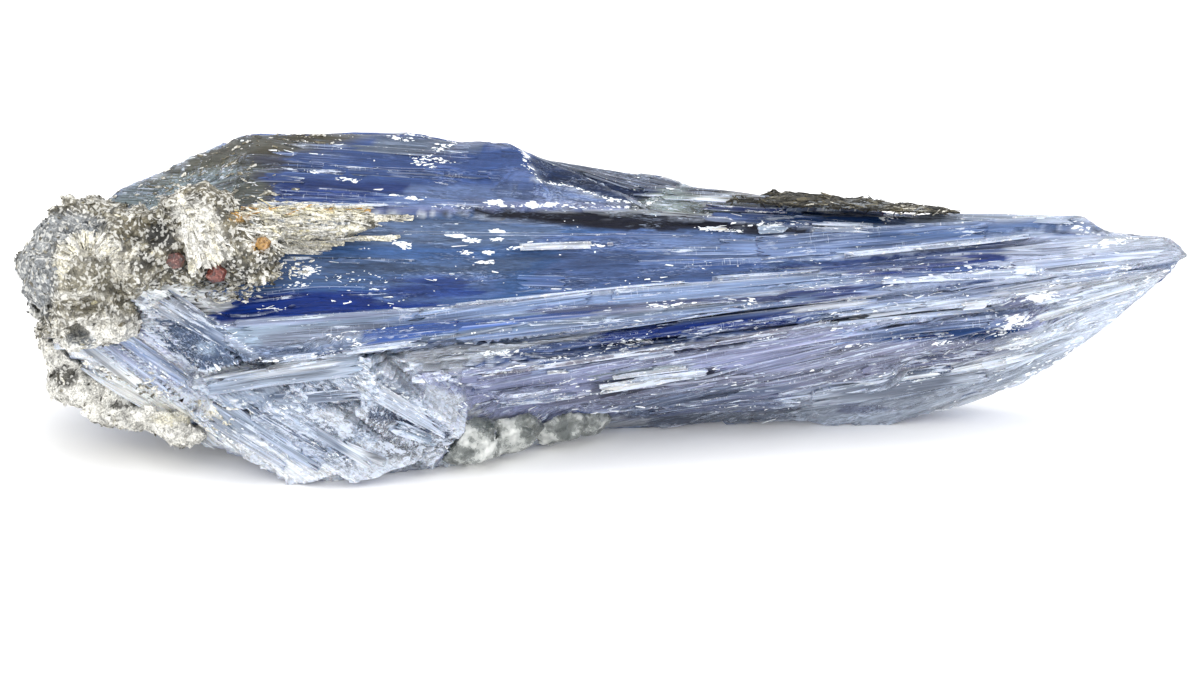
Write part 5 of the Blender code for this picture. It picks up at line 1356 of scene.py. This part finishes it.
def makeRind():
    mesh = evenCopy("dark_mica_rind", rind["cell"])
    points = meshArrays(mesh)[0]
    seen = seenPlace(points)
    sunk = np.maximum(rind["lowEdge"] - seen[:, 1] + rind["fall"] * (seen[:, 0] - 24), 0)
    placeMesh(mesh, points + np.outer(sunk, (0.0, leanCos * 0.9, leanSin * 0.6 + 0.5)))
    points, _, lift = roughen(mesh, rind["relief"], rind["stretch"])
    colour = mottled(points / rind["stretch"], lift, rind["mottleScale"], rind["mottle"])
    paintPatches(colour, seenPlace(points), rind["patches"])
    storeTint(mesh, colour)
    piece = finishPiece("dark_mica_crust", mesh, rindFinish)
    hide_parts("dark_mica_rind")
    return piece


# Where the garnets show on the display plane, and how far from them no scale lies
garnetSpots = ((-42.4, 16.7, 0.9), (-38.4, 15.4, 1.1), (-33.7, 18.4, 0.8))

# Loose and standing scales: six-sided or five-sided thin plates, sizes in mm
lowestScale = 0.4  # none lies below this
scaleLift = 0.12  # how far their middles stand off, as a share of their radius
scalePatch = {"cover": 0.85, "shade": (0.75, 1.15)}  # how much of a patch takes its colour, and how it varies
batchCount = 150  # scales are gathered in small batches, because a large bmesh is slow to add to
scales = {
    "matrix": {
        "seed": 3, "count": 9600, "radius": (0.08, 0.5), "narrow": (0.25, 0.7), "thick": (0.02, 0.05),
        "tilt": 0.34,
        # swirls: centres on the display plane that the scales curl round
        "swirls": ((-51.2, 15.6), (-53.5, 20.5), (-41.0, 14.0), (-50.0, 3.0), (-30.0, 8.0)),
        "stones": (("silver", 22), ("white", 14), ("grey", 18), ("pewter", 14), ("olive", 14), ("dark", 14),
                   ("straw", 4)),
    },
    "film": {
        "seed": 21, "count": 160000, "radius": (0.08, 0.5), "narrow": (0.2, 0.5), "thick": (0.02, 0.06),
        "tilt": 0.2, "swirls": (), "stones": (),
        # where: centre and radii on the display plane, how crowded, and which stones
        "where": (
            ((-48.5, 21.6), (4.4, 2.6), 0.9, ("grey", "silver", "olive", "white", "pewter")),
            ((-43.0, 24.2), (5.0, 2.6), 0.6, ("grey", "silver", "olive", "pewter", "white")),
            ((-37.6, 25.0), (4.0, 4.6), 0.5, ("pewter", "olive", "grey", "olive")),
            ((-30.0, 28.9), (7.0, 1.0), 0.7, ("olive", "dark", "olive", "pewter")),
            ((-33.6, 23.0), (3.4, 2.4), 0.4, ("olive", "pewter", "grey")),
            ((-30.0, 20.2), (8.0, 2.2), 0.55, ("cream", "white", "straw", "silver")),
            ((-38.0, 14.4), (5.5, 2.2), 0.8, ("white", "grey", "silver", "dark")),
            ((-33.0, 15.9), (5.0, 1.4), 0.4, ("white", "silver")),
            ((-54.0, 8.0), (4.0, 6.0), 0.4, ("silver", "white", "white")),
            ((-48.0, 3.6), (7.0, 2.4), 0.4, ("silver", "white", "white", "pewter")),
            ((-40.0, 0.8), (6.0, 2.0), 0.4, ("cream", "white", "silver")),
        ),
    },
    "rind": {
        "seed": 8, "count": 1800, "radius": (0.15, 0.9), "narrow": (0.1, 0.3), "thick": (0.03, 0.07),
        "tilt": 0.22, "swirls": (),
        "stones": (("black", 26), ("dark", 36), ("olive", 20), ("pewter", 6), ("blueGrey", 8), ("silver", 4)),
    },
}


def nearGarnet(seen):
    return any(math.hypot(seen[0] - across, seen[1] - up) < reach for across, up, reach in garnetSpots)


def filmAt(seen, where):  # the stones listed for the first place that holds a seen spot
    for centre, radii, share, names in where:
        reach = ovalReach(seen, centre, radii)
        if reach < 1:
            return share * (1 - reach * reach), names
    return 0.0, ()


def stoneMesh():  # a mesh that gathers mica, each vertex with its stone's colour
    made = bmesh.new()
    made.verts.layers.float_vector.new("stone")
    return made


def finishStones(name, whole, finish):
    mesh = meshFrom(whole, name)
    storeTint(mesh, readMark(mesh, "stone", 3))
    mesh.attributes.remove(mesh.attributes["stone"])
    return finishPiece(name, mesh, finish)


def stoneShade(roll, names, weights, low, high):
    return linear(stones[roll.choices(names, weights)[0]]) * roll.uniform(low, high)


def patchShade(roll, seen, patches):  # the colour of a patch that a spot lies in
    colour = None
    for centre, radii, stone, strength in patches:
        if ovalReach(seen, centre, radii) < 1 and roll.random() < strength * scalePatch["cover"]:
            colour = linear(stones[stone]) * roll.uniform(*scalePatch["shade"])
    return colour


def scaleLine(roll, spot, seen, out, swirls):  # the way a scale points: round a swirl, or along the fan
    line = Vector(fan["meeting"]) - spot
    if swirls:
        centre = min(swirls, key=lambda place: math.hypot(seen[0] - place[0], seen[1] - place[1]))
        line = sightWay.cross(spot - Vector(displaySpot(*centre)))
    return laidFlat(line.normalized() + strayed(roll, 0.35), out)


def makeScales(name, piece, plan, finish, patches=()):
    roll = random.Random(plan["seed"])
    names = [stone for stone, _ in plan["stones"]]
    weights = [weight for _, weight in plan["stones"]]
    low, high = plan["radius"]
    whole, batch = stoneMesh(), stoneMesh()
    for number in range(plan["count"]):
        spot, normal = pickedFace(roll, piece.data)
        if spot.z < lowestScale:
            continue
        seen = seenSpot(spot)
        if nearGarnet(seen):
            continue
        if "where" in plan:
            share, names = filmAt(seen, plan["where"])
            if normal.dot(sightWay) > 0.1 or roll.random() > share:
                continue
            weights = [1] * len(names)
        out = (normal + strayed(roll, plan["tilt"])).normalized()
        radius = low + (high - low) * roll.random() ** 2.5
        line = scaleLine(roll, spot, seen, out, plan["swirls"])
        turn = turned(spot + normal * radius * scaleLift, line, out.cross(line) * roll.uniform(*plan["narrow"]), out)
        made = bmesh.ops.create_cone(
            batch, cap_ends=True, cap_tris=False, segments=roll.choice((5, 6, 6)), radius1=radius,
            radius2=radius * roll.uniform(0.8, 1), depth=roll.uniform(*plan["thick"]), matrix=turn)["verts"]
        colour = stoneShade(roll, names, weights, 0.8, 1.1)
        if normal.dot(sightWay) < 0.2:
            patch = patchShade(roll, seen, patches)
            colour = colour if patch is None else patch
        mark = batch.verts.layers.float_vector["stone"]
        for vert in made:
            vert[mark] = colour
        if number % batchCount == batchCount - 1:
            gatherInto(whole, batch)
            batch = stoneMesh()
    gatherInto(whole, batch)
    return finishStones(name, whole, finish)


# The pale seam above the main face: slivers of mica drawn out along the blades
seam = {
    "seed": 31, "length": (0.6, 4.0), "width": (0.08, 0.34), "height": (0.03, 0.10),
    # each strand: how many slivers, its course (across, middle and half height on the display plane)
    # and its stones
    "strands": (
        (120, ((-36.4, 21.4, 0.3), (-33.8, 21.5, 0.35), (-30, 21.5, 0.35), (-25.5, 21.6, 0.35),
               (-23.2, 21.7, 0.2)),
         (("straw", 40), ("honey", 24), ("cream", 30), ("white", 6))),
        (60, ((-33, 22.2, 0.2), (-28, 22.1, 0.25), (-22.8, 21.9, 0.2)),
         (("cream", 40), ("white", 50), ("silver", 10))),
        (170, ((-36, 20.5, 0.9), (-30, 20.6, 0.6), (-25, 20.8, 0.5), (-18.8, 20.9, 0.25)),
         (("silver", 30), ("cream", 26), ("blueGrey", 20), ("pewter", 16), ("white", 12))),
        (230, ((-35, 19.1, 1), (-31, 19.3, 1.1), (-28, 19.1, 0.9), (-25.8, 18.5, 0.4)),
         (("white", 50), ("cream", 34), ("silver", 12), ("straw", 4))),
        (40, ((-26, 18.7, 0.15), (-23, 18.8, 0.15), (-20.2, 19, 0.1)), (("cream", 60), ("white", 40))),
        (70, ((-31.6, 17.9, 0.3), (-29, 17.7, 0.5), (-27, 18.1, 0.3)),
         (("white", 60), ("silver", 30), ("cream", 10))),
    ),
}
# Fans of long plates on the lumps: one white, one on the rim of the scalloped lump
plateFans = (
    {"seed": 44, "count": 260, "origin": (-41.8, 22.6), "turn": (-84, -44), "reach": (1.0, 6.0),
     "length": (1.2, 3.6), "width": (0.2, 0.8), "height": (0.04, 0.12),
     "stones": (("white", 60), ("cream", 14), ("silver", 22), ("grey", 8))},
    {"seed": 47, "count": 240, "origin": (-51.3, 16.2), "turn": (24, 168), "reach": (1.9, 3.0),
     "length": (0.5, 1.3), "width": (0.08, 0.3), "height": (0.03, 0.08),
     "stones": (("white", 40), ("cream", 40), ("silver", 20), ("pewter", 6))},
)


def addPlate(batch, spot, line, normal, size, colour, roll):  # a thin tapered plate, size in mm
    side = normal.cross(line).normalized()
    turn = turned(spot, line * size[0] / 2, side * size[1] / 2, normal * size[2] / 2)
    mark = batch.verts.layers.float_vector["stone"]
    taper, way = roll.uniform(0.15, 0.8), roll.choice((-1, 1))
    for vert in bmesh.ops.create_cube(batch, size=2.0, matrix=turn)["verts"]:
        reach = (vert.co - spot).dot(line)
        if reach * way > 0:
            vert.co = spot + line * reach + (vert.co - spot - line * reach) * taper
        vert.co += line * roll.uniform(-0.12, 0.12) * size[0]
        vert[mark] = colour


def makeSeam():
    roll = random.Random(seam["seed"])
    whole = stoneMesh()
    trees = (bodyTree, micaTree)
    for count, course, shares in seam["strands"]:
        names, weights = zip(*shares)
        course = np.array(course)
        for _ in range(count):
            across = roll.uniform(course[0, 0], course[-1, 0])
            up = np.interp(across, course[:, 0], course[:, 1])
            up += roll.uniform(-1, 1) * np.interp(across, course[:, 0], course[:, 2])
            hits = [hit for hit in (eyeHit(tree, across, up) for tree in trees) if hit[0] is not None]
            if not hits:
                continue
            spot, normal = min(hits, key=lambda hit: (hit[0] - Vector(eyePlace)).length)
            line = laidFlat(Vector((1, roll.gauss(0, 0.05), roll.gauss(0, 0.07))), normal)
            length = seam["length"][0] + (seam["length"][1] - seam["length"][0]) * roll.random() ** 2
            length = min(length, (course[-1, 0] - across) * 1.2 + 0.5)
            size = (length, roll.uniform(*seam["width"]), roll.uniform(*seam["height"]))
            colour = stoneShade(roll, names, weights, 0.85, 1.08)
            addPlate(whole, spot + normal * roll.uniform(0.0, 0.18), line, normal, size, colour, roll)
    bmesh.ops.recalc_face_normals(whole, faces=whole.faces)
    finishStones("mica_seam_slivers", whole, micaFinish)


def makeFans():
    whole = stoneMesh()
    for plan in plateFans:
        roll = random.Random(plan["seed"])
        names, weights = zip(*plan["stones"])
        for _ in range(plan["count"]):
            turn = math.radians(roll.uniform(*plan["turn"]))
            reach = roll.uniform(*plan["reach"])
            across = plan["origin"][0] + math.cos(turn) * reach
            up = plan["origin"][1] + math.sin(turn) * reach
            spot, normal = eyeHit(micaTree, across, up)
            if spot is None or nearGarnet((across, up - 0.6)):
                continue
            normal = (normal - sightWay * 1.5).normalized()
            line = laidFlat(Vector((math.cos(turn), 0, math.sin(turn) / leanCos)), normal)
            size = [roll.uniform(*plan[name]) for name in ("length", "width", "height")]
            tilted = normal + line * roll.gauss(0, 0.12) + normal.cross(line) * roll.gauss(0, 0.25)
            colour = stoneShade(roll, names, weights, 0.85, 1.08)
            spot = spot + normal * roll.uniform(0.05, 0.4)
            addPlate(whole, spot, line, tilted.normalized(), size, colour, roll)
    bmesh.ops.recalc_face_normals(whole, faces=whole.faces)
    finishStones("mica_white_fans", whole, micaFinish)


# Quartz, massive and glassy, broken along curved faces. Clear to cloudy with a green-grey cast,
# white where it is crushed.
def quartzMaterial():
    made, tree = newMaterial("massive_quartz_glassy")
    place = addNode(tree, "ShaderNodeTexCoord").outputs["Object"]
    cloud = addNode(tree, "ShaderNodeTexNoise", {"Scale": 420.0, "Detail": 5.0, "Roughness": 0.65}, Vector=place)
    crack = addNode(tree, "ShaderNodeTexVoronoi", {"Scale": 650.0, "feature": "DISTANCE_TO_EDGE"}, Vector=place)
    base = rampStops(addNode(tree, "ShaderNodeValToRGB", Fac=cloud.outputs["Fac"]),
                     [(0.38, "#858c8a"), (0.49, "#b0b5b2"), (0.62, "#e6e8e4")])
    clear = addNode(tree, "ShaderNodeMapRange", {1: 0.42, 2: 0.62, 3: 0.75, 4: 0.12}, Value=cloud.outputs["Fac"])
    rough = addNode(tree, "ShaderNodeMapRange", {1: 0.4, 2: 0.65, 3: 0.12, 4: 0.45}, Value=cloud.outputs["Fac"])
    bump = addNode(tree, "ShaderNodeBump", {"Strength": 0.4, "Distance": 0.0002},
                   Height=crack.outputs["Distance"])
    finishMaterial(tree, addNode(tree, "ShaderNodeBsdfPrincipled", {"IOR": 1.544}, **{
        "Base Color": base.outputs["Color"], "Roughness": rough.outputs[0],
        "Transmission Weight": clear.outputs[0], "Normal": bump.outputs[0]}))
    return made


quartz = {"cell": 0.22, "facets": ((2.6, 0.42), (0.8, 0.13))}  # facets: size and height in mm


def makeQuartz():
    mesh = evenCopy("quartz_seam", quartz["cell"])
    points, normals = meshArrays(mesh)
    lift = np.zeros(len(points))
    for size, height in quartz["facets"]:
        for k, p in enumerate(points):
            distances, _ = noise.voronoi(Vector(p) / size)
            lift[k] += (distances[1] - distances[0] - 0.3) * height
    placeMesh(mesh, aboveRest(points + normals * lift[:, None]))
    piece = finishPiece("quartz_lumps", mesh, quartzMaterial(), 30)
    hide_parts("quartz_seam")
    return piece


# Almandine garnet, grown as small rounded crystals. Dark wine red, glassy, dusted with mica.
def garnetMaterial(name, low, high):
    made, tree = newMaterial(name)
    place = addNode(tree, "ShaderNodeTexCoord").outputs["Object"]
    spots = addNode(tree, "ShaderNodeTexNoise", {"Scale": 2400.0, "Detail": 4.0, "Roughness": 0.7}, Vector=place)
    base = rampStops(addNode(tree, "ShaderNodeValToRGB", Fac=spots.outputs["Fac"]),
                     [(0.42, low), (0.56, high), (0.70, "#b99a8e")])
    bump = addNode(tree, "ShaderNodeBump", {"Strength": 0.5, "Distance": 0.0001}, Height=spots.outputs["Fac"])
    rough = addNode(tree, "ShaderNodeMapRange", {1: 0.4, 2: 0.7, 3: 0.22, 4: 0.6}, Value=spots.outputs["Fac"])
    finishMaterial(tree, addNode(tree, "ShaderNodeBsdfPrincipled", {"IOR": 1.79}, **{
        "Base Color": base.outputs["Color"], "Roughness": rough.outputs[0], "Normal": bump.outputs[0]}))
    return made


garnets = {
    "garnet_upper": ("garnet", "wine_red_almandine", "#2a0905", "#571d13"),
    "garnet_lower": ("garnet", "wine_red_almandine_pale", "#3a0f08", "#702818"),
    "garnet_rusty": ("rust", "rust_stained_garnet", "#6a481c", "#b08439"),
}


def makeGarnets():
    for node, (slot, name, low, high) in garnets.items():
        copy = mergedCopy(node)
        bmesh.ops.dissolve_limit(copy, angle_limit=math.radians(2), verts=copy.verts, edges=copy.edges)
        bmesh.ops.bevel(copy, geom=copy.edges, offset=0.07, offset_type="OFFSET", segments=2, profile=0.5,
                        affect="EDGES", material=-1)
        bmesh.ops.triangulate(copy, faces=copy.faces)
        bmesh.ops.subdivide_edges(copy, edges=copy.edges, cuts=2, use_grid_fill=True)
        mesh = meshFrom(copy, node)
        roughen(mesh, ((0.7, 0.06), (0.25, 0.04)))
        piece = finishPiece(node + "_crystal", mesh, garnetMaterial(name, low, high), 30)
        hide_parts(node)


matrixPiece = makeMatrix()
micaTree = pieceTree(matrixPiece)
rindPiece = makeRind()
makeQuartz()
makeGarnets()
makeScales("mica_scales", matrixPiece, scales["matrix"], micaFinish, matrix["patches"])
makeScales("mica_film", bodyPiece, scales["film"], micaFinish)
makeSeam()
makeFans()
makeScales("dark_mica_scales", rindPiece, scales["rind"], rindFinish)


# The stage: a pale floor that glows faintly, soft light and the camera
stage = {
    "floorSize": 3.0, "floorColour": "#fafafa", "floorGlow": 0.1, "roomLight": 1.13,
    "softboxes": {  # place and size in m, and power in W
        "top_softbox": ((0.05, 0.1, 0.9), 0.7, 3.3),
        "left_softbox": ((-0.5, -0.8, 0.46), 0.8, 3.7),
        "right_softbox": ((0.8, -0.3, 0.5), 0.4, 2.0),
    },
    "aim": (0, 0, 0.01), "sensor": 36.0,
}


# White paper, calendered and swept flat. Matte and even: it takes soft shadows and no gloss, and it glows faintly as
# painted light that lifts those shadows and the stone's underside.
def glowingPaperMaterial():
    made, tree = newMaterial("glowing_white_paper_sweep")
    finishMaterial(tree, addNode(tree, "ShaderNodeBsdfPrincipled", {
        "Base Color": (*linear(stage["floorColour"]), 1), "Roughness": 0.9, "Specular IOR Level": 0.1,
        "Emission Color": (1, 1, 1, 1), "Emission Strength": stage["floorGlow"]}))
    return made


def makeFloor():
    floor = bmesh.new()
    bmesh.ops.create_grid(floor, x_segments=1, y_segments=1, size=stage["floorSize"])
    mesh = meshFrom(floor, "floor")
    mesh.materials.append(glowingPaperMaterial())
    piece = placed("floor", mesh)


def makeLights():
    world = bpy.data.worlds.new("soft_room")
    world.use_nodes = True
    background = world.node_tree.nodes["Background"]
    background.inputs["Color"].default_value = (1, 1, 1, 1)
    background.inputs["Strength"].default_value = stage["roomLight"]
    bpy.context.scene.world = world
    for name, (place, size, watts) in stage["softboxes"].items():
        light = bpy.data.lights.new(name, "AREA")
        light.shape = "SQUARE"
        light.size = size
        light.energy = watts
        lamp = placed(name, light)
        lamp.location = place
        lamp.rotation_euler = (Vector(stage["aim"]) - lamp.location).to_track_quat("-Z", "Y").to_euler()


def makeCamera():
    lens = bpy.data.cameras.new("camera")
    lens.sensor_width = stage["sensor"]
    lens.lens = stage["sensor"] * viewDistance / frameWidth
    camera = placed("camera", lens)
    camera.location = Vector(eyePlace * mm)
    camera.rotation_euler = sightWay.to_track_quat("-Z", "Y").to_euler()
    bpy.context.scene.camera = camera
    bpy.context.scene.view_settings.view_transform = "Standard"


makeFloor()
makeLights()
makeCamera()
print("stage set")
